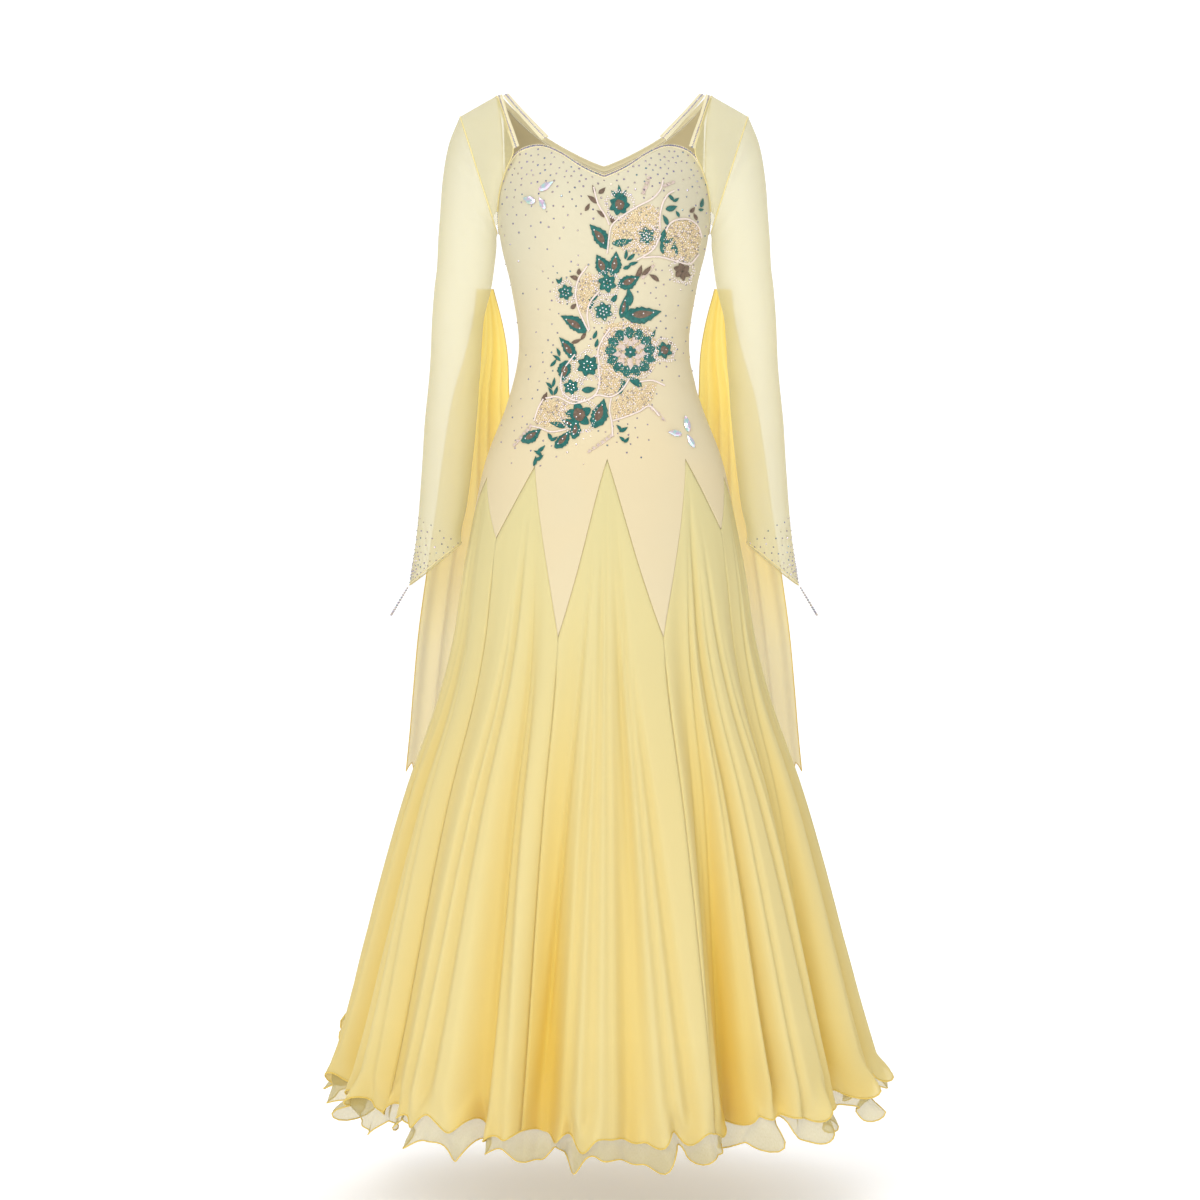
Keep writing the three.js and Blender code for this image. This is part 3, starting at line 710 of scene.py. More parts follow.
def satin_material(name, light, dark):
    """Close satin stitches, slanting away from the middle of each shape."""
    s = Shader(name)
    apart = s.set(s.add("SeparateXYZ"), Vector=s.coordinates("weave"))
    aside = s.math("MULTIPLY", s.math("ABSOLUTE", apart.outputs[0]), 0.8)
    slant = s.math("ADD", apart.outputs[1], aside)
    ridge = s.math("SINE", s.math("MULTIPLY", slant, 9000.0))
    patch = s.noise(s.coordinates(), 260.0, 2.0)
    share = s.math("ADD", s.between(ridge, -1, 1, 0, 0.35), s.between(patch, 0.3, 0.7, 0, 0.65))
    base = s.colour(share, light, dark)
    return s.surface(s.body(base, 0.42, s.bump(ridge, 0.0002, 0.5), Sheen_Weight=0.1))


def net_material():
    s = Shader("beige net")
    holes = s.noise(s.scaled(s.coordinates(), (700, 700, 700)), 1.0, 0.0)
    body = s.body(s.colour(s.between(holes, 0.3, 0.7), "F0DFB6", "E4CBA0"), 0.6)
    clear = s.add("BsdfTransparent").outputs[0]
    return s.surface(s.mix(s.between(holes, 0.42, 0.6, 0.15, 0.6), body, clear))


def stone_material():
    """Cut stones with a rainbow coating: the tint changes from stone to stone."""
    s = Shader("coated rhinestone")
    patch = s.noise(s.coordinates(), 420.0, 1.0)
    warm = s.colour(s.between(patch, 0.34, 0.48), "5F8E96", "9A86B4")
    base = s.colour(s.between(patch, 0.5, 0.62), warm, "C9BCA6")
    return s.surface(s.body(base, 0.08, Metallic=0.55, Coat_Weight=1.0, Coat_Roughness=0.03))


def clear_stone_material(name, cool, warm, metallic):
    s = Shader(name)
    base = s.colour(s.between(s.noise(s.coordinates(), 210.0, 1.0), 0.36, 0.64), cool, warm)
    return s.surface(s.body(base, 0.05, Metallic=metallic, Coat_Weight=1.0, Coat_Roughness=0.02))


CHIFFON = chiffon_material()
FLOAT_CHIFFON = float_material()
ORGANZA = organza_material()
MESH = mesh_material()
# The crepe, the lining and the binding all shift colour with height as painted light.
CREPE = crepe_material("cream stretch crepe", "D4CDB2", "DECEA8")
# The inside of the bodice: partly the lining's own tan, partly darkened as painted shade for the
# shade inside the bodice.
SHADED_LINING = crepe_material("lining of the bodice", "CDBF97", "C4B48A")
BINDING = crepe_material("bias binding", "ECE2BC", "E2D4A2")
ROLLED_EDGE = plain_material("rolled edge thread", "E7CC6C", "D9BA55", 0.6, 900.0)
SEAM_THREAD = plain_material("seam thread", "F0E3A6", "E6D38A", 0.65, 900.0)
STONE = stone_material()
WHITE_STONE = clear_stone_material("white crystal", "FFFFFF", "F2ECF4", 0.15)
DROP_STONE = clear_stone_material("drop crystal", "BFEAE6", "E9C9E6", 0.5)
TEAL = satin_material("teal satin thread", "1F7F74", "0E5550")
TAUPE = satin_material("taupe satin thread", "8A715C", "5E4C3E")
PALE_THREAD = satin_material("pale pink thread", "EFDCD0", "D6BFB3")
PALE_BEAD = plain_material("pale pink beads", "FFF8F3", "E6D6D6", 0.3, 600.0, 0.6)
CORD_THREAD = plain_material("corded stem thread", "F6EAE2", "E3CFC6", 0.5, 1500.0)
GOLD_BEAD = plain_material("champagne beads", "FBEBC6", "E2C391", 0.25, 700.0, 0.8)
ELASTIC = plain_material("silver elastic", "D9D7D2", "BFBDB9", 0.4, 800.0)
NET = net_material()

# ---------------------------------------------------------------- bodice


def stops_between(low, high):
    """The angles of the zigzag's corners from one side seam to the other."""
    angles = [low]
    for turn in (-360, 0):
        angles += [a + turn for a, _ in ZIGZAG if low + 0.5 < a + turn < high - 0.5]
    return sorted(angles) + [high]


def spaced(stops, step):
    """Column angles about one step apart, with a column at every stop."""
    columns = [stops[0]]
    for low, high in zip(stops, stops[1:]):
        count = max(1, round((high - low) / step))
        columns += [low + (high - low) * (k + 1) / count for k in range(count)]
    return columns


ROW_SHARE = 0.8  # of the rows are above the hip level


def panel_level(top, foot, down):
    above = np.clip(down / ROW_SHARE, 0, 1)
    below = np.clip((down - ROW_SHARE) / (1 - ROW_SHARE), 0, 1)
    level = top + (HIP_LEVEL - top) * above
    return level + (foot - level) * below, above


FRONT_COLUMNS = spaced(stops_between(LEFT_SEAM, RIGHT_SEAM), 1.3)


def bodice_front(across, down):
    angle = np.interp(across, np.linspace(0, 1, len(FRONT_COLUMNS)), FRONT_COLUMNS)
    top = smooth_read(FRONT_TOP, 1, np.minimum(np.abs(angle), 90))
    z, _ = panel_level(top, zigzag_level(angle) + 0.3, down)
    return front_surface(angle, z), {}


def back_top(foot):
    away = np.abs(foot)
    feet = [r[2] for r in BACK_TOP]
    lean = np.interp(away, feet, [r[0] for r in BACK_TOP])
    return 180 + np.sign(foot) * lean, np.interp(away, feet, [r[1] for r in BACK_TOP])


BACK_COLUMNS = spaced(
    sorted(
        {a - 180 for a in stops_between(RIGHT_SEAM, LEFT_SEAM + 360)}
        | {side * r[2] for r in BACK_TOP[2:5] for side in (-1, 1)}
        | {0}
    ),
    1.3,
)

# Creases of the back, in the small of it and over the seat.
BACK_CREASES = [
    (-96, -262, -22, -284, 1.6, 10),
    (94, -250, 30, -276, 1.4, 9),
    (-100, -322, -34, -330, 1.8, 11),
    (98, -310, 26, -326, 1.6, 10),
    (-84, -366, -14, -356, 1.5, 10),
    (90, -372, 20, -352, 1.7, 11),
    (-60, -410, 40, -404, 1.2, 12),
]


def bodice_back(across, down):
    foot = np.interp(across, np.linspace(0, 1, len(BACK_COLUMNS)), BACK_COLUMNS)
    lean, top = back_top(foot)
    band = np.where(np.abs(foot) < NECK_FOOT + 0.01, NECK_BAND + 0.3, 0)
    z, above = panel_level(top - band, zigzag_level(180 + foot) + 0.3, down)
    angle = lean + (180 + foot - lean) * above**BACK_LEAN
    places = dress_surface(angle, z)
    depth = crease_depth(places[:, 0], places[:, 2], BACK_CREASES)
    places[:, 1] -= depth * -np.cos(np.radians(angle))
    return places, {}


def neck_band(across, down):
    foot = -NECK_FOOT + 2 * NECK_FOOT * across
    angle, top = back_top(foot)
    places = dress_surface(angle, top - NECK_BAND * down)
    places[:, 1] += 1.0 * np.sin(math.pi * down)
    return places, {}


CREPE_WALL, CREPE_SPREAD = 0.0012, (0.46, 0.6)
for name, columns, rows, surface, length in (
    ("front", FRONT_COLUMNS, 130, bodice_front, 0.66),
    ("back", BACK_COLUMNS, 110, bodice_back, 0.74),
):
    piece = cloth(
        f"bodice {name}",
        len(columns) - 1,
        rows,
        surface,
        CREPE_SPREAD,
        CREPE_WALL,
        # the inner face takes the lining, darkened as painted shade
        [CREPE, SHADED_LINING],
        [f"bodice_{name}"],
    )
band = cloth(
    "back neck band", 96, 4, neck_band, (0.3, 0.01), 0.0014, [BINDING], ["back_neck_band"]
)

# ---------------------------------------------------------------- skirt


def waver(angle, waves):
    """A closed uneven wave round the hem: each wave is its count, size and start."""
    turn = np.radians(angle)
    return sum(size * np.sin(count * turn + start) for count, size, start in waves)


CHIFFON_FRILL_UP = [(37, 4.0, 0.4), (52, 4.5, 2.1), (71, 3.2, 4.0), (23, 3.0, 1.1)]
CHIFFON_FRILL_OUT = [(37, 6.0, 1.9), (52, 6.5, 3.6), (71, 4.4, 5.6)]
ORGANZA_FRILL_UP = [(29, 6.5, 0.9), (43, 6.0, 3.2), (61, 4.2, 5.2), (17, 4.0, 2.4)]
ORGANZA_FRILL_OUT = [(29, 9.0, 2.3), (43, 8.5, 4.9), (61, 6.0, 0.5)]

# Where the organza hem kicks up and out: angle, rise, half width.
ORGANZA_KICKS = [
    (-99, 78, 12),
    (-82, 22, 6),
    (98, 78, 12),
    (82, 20, 6),
    (142, 26, 7),
    (-150, 30, 7),
    (170, 22, 6),
    (38, 12, 5),
    (-44, 10, 5),
]
CHIFFON_KICKS = [
    (-100, 84, 12),
    (100, 84, 12),
    (150, 14, 8),
    (-140, 16, 8),
    (37, 16, 3.2),
    (-36, 8, 5),
]


def crowded(down, part=0.66, share=0.9):
    """Moves rows of the grid towards the hem, where the frills are."""
    below = share + (down - part) / (1 - part) * (1 - share)
    return np.where(down < part, down / part * share, below)


SEAM_LAP, SEAM_TUCK = 3, 1.6  # the chiffon runs up behind the crepe by the lap

# A layer's hem: front, side and back level, waves up, waves out, kicks, height of the frill.
CHIFFON_EDGE = (CHIFFON_HEM, CHIFFON_FRILL_UP, CHIFFON_FRILL_OUT, CHIFFON_KICKS, 46)
ORGANZA_EDGE = (ORGANZA_HEM, ORGANZA_FRILL_UP, ORGANZA_FRILL_OUT, ORGANZA_KICKS, 80)


def hem_line(angle, edge):
    """The level of a hem and how far it has kicked up."""
    hem, frill_up, _, kicks, _ = edge
    kick = sum(rise * hollow(wrapped(angle - at, -180) / wide) for at, rise, wide in kicks)
    return hem_level(hem, angle) + waver(angle, frill_up) + kick, kick


def frill_reach(angle, z, edge):
    """How far a hem's frill stands out at each place, and the level of the hem there."""
    base, kick = hem_line(angle, edge)
    frilled = ramp(1 - (z - base) / edge[4], 0, 1) ** 1.4
    return (waver(angle, edge[2]) + 0.24 * kick) * frilled, base


def skirt_layer(angle, down, top, edge, inset, over=None):
    """A layer of the skirt. Under another layer it follows that one's frill down to its hem."""
    z = top + (hem_line(angle, edge)[0] - top) * down
    tucked = inset + SEAM_TUCK * ramp(z, top - 10, top - SEAM_LAP)
    places = dress_surface(angle, z, tucked)
    out, _ = frill_reach(angle, z, edge)
    if over:
        covered, base = frill_reach(angle, z, over)
        free = ramp(base - z, 0, 26)
        out = covered * (1 - free) + out * free
    places[:, 0] += out * np.sin(np.radians(angle))
    places[:, 1] -= out * np.cos(np.radians(angle))
    return places, z


def godet_angle(index, across):
    godet, before = GODETS[index], GODETS[index - 1]
    start = float(wrapped(before[3], godet[1] - 180))
    return np.interp(across, [0, 0.5, 1], [start, godet[1], godet[3]])


def godet(index):
    def surface(across, down):
        angle = godet_angle(index, across)
        top = zigzag_level(angle) + SEAM_LAP
        shares = crowded(down)
        places, z = skirt_layer(angle, shares, top, CHIFFON_EDGE, 0.0)
        # fold_shade: the depth of the folds at each place, kept only to paint shade into the fold
        # valleys.
        deep = np.clip(fold_depth(angle, z) / 46, 0, 1)
        return places, {"fold_shade": deep, "down": np.clip((-z - 500) / 830, 0, 1.02)}

    return surface


def under_godet(index):
    def surface(across, down):
        angle = godet_angle(index, across)
        shares = crowded(down, 0.5, 0.86)
        top = np.full_like(angle, ORGANZA_TOP)
        return skirt_layer(angle, shares, top, ORGANZA_EDGE, ORGANZA_INSET, CHIFFON_EDGE)[0], {}

    return surface


GODET_COLUMNS, GODET_ROWS, UNDER_ROWS = 64, 100, 44
chiffon_hem_line, organza_hem_line = [], []
for index, (name, *_) in enumerate(GODETS):
    shape = godet(index)
    piece = cloth(
        f"godet {name}",
        GODET_COLUMNS,
        GODET_ROWS,
        shape,
        (0.42, 0.84),
        0.0005,
        [CHIFFON],
        [f"godet_{name}"],
    )
    under_shape = under_godet(index)
    under = cloth(
        f"under layer {name}",
        GODET_COLUMNS,
        UNDER_ROWS,
        under_shape,
        (0.42, 0.62),
        0.0,
        [ORGANZA],
        [f"under_{name}"],
    )
    along = np.linspace(0, 1, GODET_COLUMNS + 1)[:-1]
    chiffon_hem_line += list(shape(along, np.ones_like(along))[0])
    organza_hem_line += list(under_shape(along, np.ones_like(along))[0])

tubes("rolled hem of the chiffon", [chiffon_hem_line], 1.0, [ROLLED_EDGE], closed=True)
tubes("rolled hem of the organza", [organza_hem_line], 0.9, [ROLLED_EDGE], closed=True)

# ---------------------------------------------------------------- sleeves and shoulders


def sleeve_place(turn, row):
    s, c = np.sin(np.radians(turn)), np.cos(np.radians(turn))
    return np.stack(
        [
            row_read(SLEEVE, 0, row) - row_read(SLEEVE, 3, row) * c,
            row_read(SLEEVE, 1, row) - row_read(SLEEVE, 4, row) * s,
            row_read(SLEEVE, 2, row) + row_read(SLEEVE, 5, row) * c,
        ],
        axis=-1,
    )


# Creases of a sleeve: turn, row, depth, reach in turn and in rows.
SLEEVE_CREASES = [
    (60, 0.8, 2.5, 50, 0.5),
    (120, 2.2, 2.0, 60, 0.7),
    (30, 3.8, 1.6, 70, 0.5),
    (140, 5.2, 2.4, 60, 0.4),
    (80, 5.8, 1.8, 70, 0.35),
    (150, 6.4, 2.0, 60, 0.4),
    (40, 7.2, 1.5, 60, 0.5),
    (230, 5.5, 2.5, 70, 0.4),
    (260, 6.3, 2.0, 70, 0.4),
    (300, 3.0, 1.8, 60, 0.8),
    (110, 8.6, 1.4, 40, 0.9),
]


def sleeve(across, down):
    turn, row = across * 360, down * (len(SLEEVE) - 1)
    places = sleeve_place(turn, row)
    depth = np.zeros_like(turn)
    for at, level, deep, wide, high in SLEEVE_CREASES:
        aside = wrapped(turn - at, -180) / wide
        depth += deep * hollow(aside) * hollow((row - level + 0.25 * aside) / high)
    places[:, 0] += depth * np.cos(np.radians(turn))
    places[:, 1] += depth * np.sin(np.radians(turn))
    side = np.abs(np.cos(np.radians(turn)))
    return places, {"shade": 0.9 * side**3}


def shoulder(across, down):
    along = (1 - down) * (len(SHOULDER) - 1)
    neck = np.stack([row_read(SHOULDER, k, along) for k in (1, 2, 3)], axis=-1)
    armhole = sleeve_place(row_read(SHOULDER, 0, along), np.zeros_like(along))
    armhole[:, 0] += 0.4
    share = (1 - across)[:, None]
    places = neck * (1 - share) + armhole * share
    bulge = SHOULDER_BULGE * np.sin(math.pi * across)
    places[:, 1] += np.sign(places[:, 1]) * bulge * np.minimum(1, np.abs(places[:, 1]) / 30)
    return places, {"shade": np.full_like(across, 0.7)}


def mirrored(surface):
    """The same piece for the right side."""

    def other(across, down):
        places, marks = surface(1 - across, down)
        return places * (-1, 1, 1), marks

    return other


SIDES = (("left", lambda surface: surface), ("right", mirrored))
for side, turned in SIDES:
    for name, columns, rows, surface, size, flat, area, rests, ring in (
        ("sleeve", 72, 110, sleeve, (0.22, 0.56), (0.25, 0.6), 0.118, "shoulder_" + side, True),
        ("shoulder", 18, 66, shoulder, (0.05, 0.34), (0.08, 0.36), 0.016, "bodice_front", False),
    ):
        piece = cloth(
            f"{name} {side}",
            columns,
            rows,
            turned(surface),
            size,
            0.0,
            [MESH],
            [f"{name}_{side}"],
            ring,
        )

# ---------------------------------------------------------------- floats

# Gathers of a float: share across, depth, half width.
FLOAT_FOLDS = [
    (0.16, 13, 0.13),
    (0.36, 19, 0.12),
    (0.55, 12, 0.09),
    (0.72, 20, 0.13),
    (0.9, 11, 0.1),
]


def float_drape(across, down):
    hem = FLOAT_OUTER_HEM + (FLOAT_INNER_HEM - FLOAT_OUTER_HEM) * across
    hem = hem + 16 * np.sin(across * 19 + 0.6) * ramp(down, 0.4, 1)
    z = FLOAT[0][0] + (hem - FLOAT[0][0]) * down
    ends = [smooth_read(FLOAT, k, z) for k in (1, 2, 3, 4)]
    x = ends[0] + (ends[2] - ends[0]) * across
    y = ends[1] + (ends[3] - ends[1]) * across
    grown = np.minimum(1, down * 1.6) * (0.5 + 0.5 * down)
    wave = sum(deep * hollow((across - at) / wide) for at, deep, wide in FLOAT_FOLDS)
    y, x = y + wave * grown, x - 0.6 * wave * grown
    # The fold_shade mark follows the gathers, for painted shade in their valleys.
    return np.stack([x, y, z], axis=-1), {"fold_shade": np.clip(wave / 20, 0, 1), "down": down}


def behind(surface):
    """Turns a sheet's columns round, so that its outside faces backwards."""

    def other(across, down):
        return surface(1 - across, down)

    return other


for side, turned in SIDES:
    hanging = turned(behind(float_drape))
    flat = (0.3, 0.66)
    made, nodes = [FLOAT_CHIFFON], [f"float_{side}"]
    piece = cloth(f"float {side}", 90, 110, hanging, flat, 0.0, made, nodes)
    along = np.linspace(0, 1, 120)
    ends = [
        hanging(along, np.ones_like(along))[0],
        hanging(np.zeros_like(along), along)[0],
        hanging(np.ones_like(along), along)[0],
    ]
    tubes(f"rolled edge of the {side} float", ends, 0.7, [ROLLED_EDGE])

# ---------------------------------------------------------------- edges, straps and loops

ROUND_STONE = stone_mesh()
BEAD = bead_mesh()


def front_edge(angles, drop, lift):
    """Places and normals just under the bodice's upper edge."""
    angles = np.asarray(angles, float)
    z = smooth_read(FRONT_TOP, 1, np.minimum(np.abs(angles), 90)) - drop
    return lifted_front(angles, z, lift)


def even_steps(places, gap):
    """Shares along a line at which points are one gap apart."""
    steps = np.linalg.norm(np.diff(places, axis=0), axis=1)
    along = np.concatenate([[0], np.cumsum(steps)])
    count = max(2, round(along[-1] / gap))
    return np.interp(np.linspace(0, along[-1], count + 1), along, np.arange(len(along)))


def stones_on_line(places, outs, gap, size):
    rows = even_steps(places, gap)
    numbers = np.arange(len(places))
    at = np.stack([np.interp(rows, numbers, places[:, k]) for k in range(3)], axis=-1)
    way = np.stack([np.interp(rows, numbers, outs[:, k]) for k in range(3)], axis=-1)
    return [
        (place, out, random.uniform(0, 0.8), size * random.uniform(0.92, 1.08))
        for place, out in zip(at, way)
    ]


MIRRORS = (("left", 1), ("right", -1))
SHOULDER_MIDDLE = (-80, 30, -130)

random.seed(7)
edge_angles = np.linspace(-90, 90, 260)
tubes(
    "neckline binding",
    [front_edge(edge_angles, 0.2, -0.3)[0], front_edge(edge_angles, 3.6, 0.3)[0]],
    0.9,
    [BINDING],
)
edge_stones = stones_on_line(*front_edge(np.linspace(-90, 90, 420), 2.0, 0.7), 3.3, 3.2)

strap_stones = []
for side, mirror in MIRRORS:
    for kind, strap in (("inner", INNER_STRAP), ("outer", OUTER_STRAP)):
        last = len(strap) - 1
        along = np.linspace(0, last, 60)
        line = np.stack([row_read(strap, k, along) for k in (0, 1, 2)], axis=-1)
        way = unit(np.gradient(line, axis=0))
        out = unit(line - SHOULDER_MIDDLE)
        aside = unit(np.cross(way, out))
        out = np.cross(aside, way)
        half = row_read(strap, 3, along)[:, None] / 2
        line, aside, out = (part * (mirror, 1, 1) for part in (line, aside, out))

        def ribbon(across, down, line=line, aside=aside, half=half, mirror=mirror):
            row = (1 - down) * (len(line) - 1)

            def at(values):
                numbers = np.arange(len(values))
                return np.stack([np.interp(row, numbers, column) for column in values.T], -1)

            share = (across * 2 - 1)[:, None] * mirror * -1
            return at(line) + at(aside) * at(half) * share, {}

        strip = cloth(
            f"{kind} strap {side}",
            2,
            30,
            ribbon,
            (0.008, 0.1),
            0.0012,
            [BINDING],
            [f"{kind}_strap_{side}"],
        )
        rests = ["bodice_front_cloth"]
        piping = [line + aside * half + out * 0.4, line - aside * half + out * 0.4]
        tubes(f"{kind} piping {side}", piping, 1.0, [BINDING])
        strap_stones += stones_on_line(line + out * 0.9, out, 3.2, 2.8)

scatter("neckline_stones", ROUND_STONE, edge_stones + strap_stones, [STONE])

# The armhole seam and the edge of the cuff.
seam_lines, cuff_lines = [], []
for _, mirror in MIRRORS:
    turns = np.linspace(0, 360, 90)
    seam_lines.append(sleeve_place(turns, np.zeros_like(turns)) * (mirror, 1, 1))
    cuff_lines.append(sleeve_place(turns, np.full_like(turns, len(SLEEVE) - 1)) * (mirror, 1, 1))
    rows = np.linspace(0, 1, 70)
    seam_lines.append(shoulder(np.full_like(rows, 1.0), rows)[0] * (mirror, 1, 1))
    seam_lines.append(shoulder(np.zeros_like(rows), rows)[0] * (mirror, 1, 1))
tubes("armhole seams", seam_lines, 0.7, [SEAM_THREAD])
tubes("cuff edges", cuff_lines, 0.8, [BINDING])

# Finger loops: a fine elastic with a row of small beads.
LOOP_TOP, LOOP_FOOT, LOOP_WIDE = (-262.5, -13, -661), (-284, -13, -697), 12
LOOP_HALF = [(0, 0), (0.35, 0.36), (0.72, 0.5), (0.96, 0.28), (1, 0)]
LOOP_SHAPE = LOOP_HALF + [(down, -aside) for down, aside in LOOP_HALF[-2:0:-1]]
loop_beads = []
for side, mirror in MIRRORS:
    turns = np.linspace(0, len(LOOP_SHAPE), 65)[:-1]
    closed_shape = [(i, *p) for i, p in enumerate(LOOP_SHAPE + LOOP_SHAPE[:1])]
    down = smooth_read(closed_shape, 1, turns)[:, None]
    aside = smooth_read(closed_shape, 2, turns) * LOOP_WIDE
    loop = np.array(LOOP_TOP) * (1 - down) + np.array(LOOP_FOOT) * down
    loop[:, 1] += aside
    loop = loop * (mirror, 1, 1)
    nodes = [f"finger_loop_{side}"]
    tubes(f"elastic loop {side}", [loop], 0.5, [ELASTIC], nodes, closed=True)
    loop_beads += [(p, (0, -1, 0), 0, 2.6) for p in loop[::2]]
scatter("finger_loop_beads", BEAD, loop_beads, [STONE], smooth=True)

# ---------------------------------------------------------------- lace on the bodice front

# Corded stems, as x and level from end to end.
STEMS = [
    [(4, -226), (7, -203), (11, -190), (24, -179), (44, -167), (61, -158), (72, -146), (76, -133)],
    [(7, -190), (2, -179), (-8, -164), (-14, -142)],
    [(80, -196), (85, -187), (95, -181), (110, -179), (122, -185), (128, -198)],
    [(72, -194), (72, -178), (76, -161), (83, -150), (90, -145)],
    [(42, -234), (56, -226), (66, -217), (73, -202)],
    [(50, -231), (72, -229), (94, -233), (112, -234), (124, -220)],
    [(-22, -242), (-33, -258), (-37, -276), (-34, -294), (-27, -312), (-20, -326)],
    [(-7, -275), (-18, -288), (-22, -304), (-19, -324)],
    [
        (-38, -356), (-50, -372), (-56, -388), (-53, -407), (-33, -418), (-13, -411), (-6, -393),
        (-8, -370),
    ],
    [
        (-76, -413), (-60, -412), (-41, -421), (-21, -416), (-9, -410), (9, -412), (23, -403),
        (33, -388),
    ],
    [(-79, -414), (-86, -427), (-91, -443)],
    [(-93, -450), (-82, -453), (-68, -458), (-49, -455)],
    [(9, -414), (7, -430), (10, -447), (11, -464)],
    [(11, -444), (29, -438), (46, -431), (59, -424), (72, -437)],
    [(46, -392), (63, -390), (79, -396)],
    [(8, -322), (-2, -336), (-8, -352), (-6, -372)],
]

# Net filled with beads: the corners of each patch, all round.
NET_PATCHES = [
    [
        (11, -196), (24, -182), (44, -169), (62, -164), (73, -177), (73, -196), (64, -217),
        (52, -228), (26, -224), (10, -212),
    ],
    [
        (81, -195), (92, -184), (110, -180), (123, -186), (128, -201), (123, -219), (110, -232),
        (92, -232), (75, -226), (76, -207),
    ],
    [
        (-20, -250), (-8, -258), (-6, -273), (-17, -288), (-22, -304), (-31, -300), (-35, -280),
        (-31, -260),
    ],
    [
        (-77, -416), (-58, -416), (-45, -423), (-43, -440), (-54, -449), (-71, -452), (-90, -445),
        (-86, -429),
    ],
    [(-5, -366), (11, -374), (26, -384), (24, -402), (8, -411), (-6, -406), (-8, -384)],
    [
        (26, -405), (46, -396), (68, -394), (64, -414), (57, -425), (33, -436), (12, -442),
        (10, -420),
    ],
    [(2, -318), (30, -312), (60, -320), (72, -346), (66, -374), (40, -389), (10, -380), (-6, -352)],
]

# Leaves: x, level, turn from upright in degrees, length, width, and for the teal ones, whether
# the middle is taupe.
TEAL_LEAVES = [
    (19, -147, 0, 15, 5, 0),
    (13, -151, 38, 12, 4.5, 0),
    (25, -151, -38, 12, 4.5, 0),
    (-7, -205, 38, 36, 19, 1),
    (24, -211, -78, 26, 9, 0),
    (76, -203, -12, 17, 8, 0),
    (75, -217, 10, 15, 7, 0),
    (84, -208, -58, 13, 4.5, 0),
    (90, -213, -24, 12, 4.5, 0),
    (93, -219, 12, 13, 4.5, 0),
    (86, -154, 46, 10, 4.5, 0),
    (93, -156, -52, 9, 3.5, 0),
    (87, -167, -70, 15, 7, 0),
    (95, -174, 30, 8, 4, 0),
    (79, -183, 28, 13, 5.5, 0),
    (128, -154, -14, 12, 4.5, 0),
    (127, -163, -70, 7, 3.5, 0),
    (-4, -241, 24, 27, 19, 1),
    (13, -239, -10, 29, 17, 1),
    (28, -227, -8, 12, 4, 0),
    (35, -230, -50, 13, 4.5, 0),
    (38, -238, -74, 12, 4, 0),
    (30, -243, -66, 11, 4.5, 0),
    (32, -261, -66, 29, 18, 1),
    (-60, -261, 40, 9, 4, 0),
    (-57, -259, -30, 8, 3.5, 0),
    (-40, -316, 56, 37, 18, 1),
    (50, -302, -82, 46, 22, 1),
    (32, -281, 6, 22, 9, 0),
    (25, -294, -12, 28, 11, 1),
    (13, -283, -36, 12, 6, 0),
    (-14, -283, -64, 13, 5, 0),
    (-17, -292, -36, 11, 4.5, 0),
    (63, -329, -30, 15, 4, 0),
    (62, -348, -72, 10, 3.5, 0),
    (64, -362, 62, 11, 4, 0),
    (-48, -348, 34, 34, 15, 1),
    (-51, -378, 172, 27, 18, 1),
    (-60, -352, 20, 11, 4, 0),
    (-62, -360, 52, 12, 4, 0),
    (-66, -366, -40, 12, 4, 0),
    (-12, -330, -24, 11, 4.5, 0),
    (-10, -341, -16, 11, 4.5, 0),
    (-20, -402, -82, 17, 8, 0),
    (-66, -392, -12, 12, 4, 0),
    (-72, -396, 44, 11, 4, 0),
    (-70, -404, 30, 11, 4, 0),
    (-63, -403, -20, 12, 4, 0),
    (-7, -434, -20, 38, 22, 1),
    (-47, -447, 60, 18, 10, 1),
    (-38, -455, -8, 24, 14, 1),
    (-61, -449, 72, 20, 7, 0),
    (-95, -462, -58, 28, 16, 1),
    (-54, -468, -40, 28, 15, 1),
    (-71, -464, 28, 10, 5, 0),
    (-65, -467, -60, 10, 4, 0),
    (-82, -480, -50, 13, 4.5, 0),
    (-86, -486, 56, 12, 4.5, 0),
    (-84, -492, -56, 12, 4.5, 0),
    (-90, -496, -12, 13, 4.5, 0),
    (25, -455, -62, 12, 5, 0),
    (19, -453, 40, 9, 4, 0),
    (23, -468, 46, 9, 4, 0),
    (29, -469, -40, 9, 4, 0),
    (24, -394, 10, 14, 7, 0),
    (21, -403, -18, 11, 6, 0),
    (39, -392, 58, 22, 9, 0),
]
TAUPE_LEAVES = [
    (-3, -146, -48, 12, 6),
    (-14, -145, 14, 12, 4),
    (-16, -158, 50, 15, 6),
    (-22, -168, -30, 11, 5),
    (-5, -176, 50, 13, 5),
    (10, -183, 20, 12, 6),
    (-39, -257, 68, 12, 6),
    (-33, -249, -10, 8, 6),
    (45, -249, -22, 19, 7),
    (55, -247, -44, 16, 6),
    (65, -256, 58, 15, 6),
    (-40, -293, -50, 9, 6),
    (-36, -338, -70, 14, 5),
    (-27, -331, -30, 13, 5),
    (-78, -411, -30, 14, 6),
    (84, -341, -50, 12, 2.6),
    (89, -352, 50, 9, 2.4),
    (115, -166, -40, 10, 5),
    (119, -174, 30, 9, 5),
]
# Pale sprigs of tiny leaves: from x and level to x and level, with this many pairs.
SPRIGS = [
    (50, -152, 58, -127, 4),
    (76, -140, 92, -132, 3),
    (12, -462, -22, -486, 6),
    (-94, -448, -119, -476, 6),
    (60, -424, 80, -444, 3),
    (48, -258, 66, -238, 3),
]
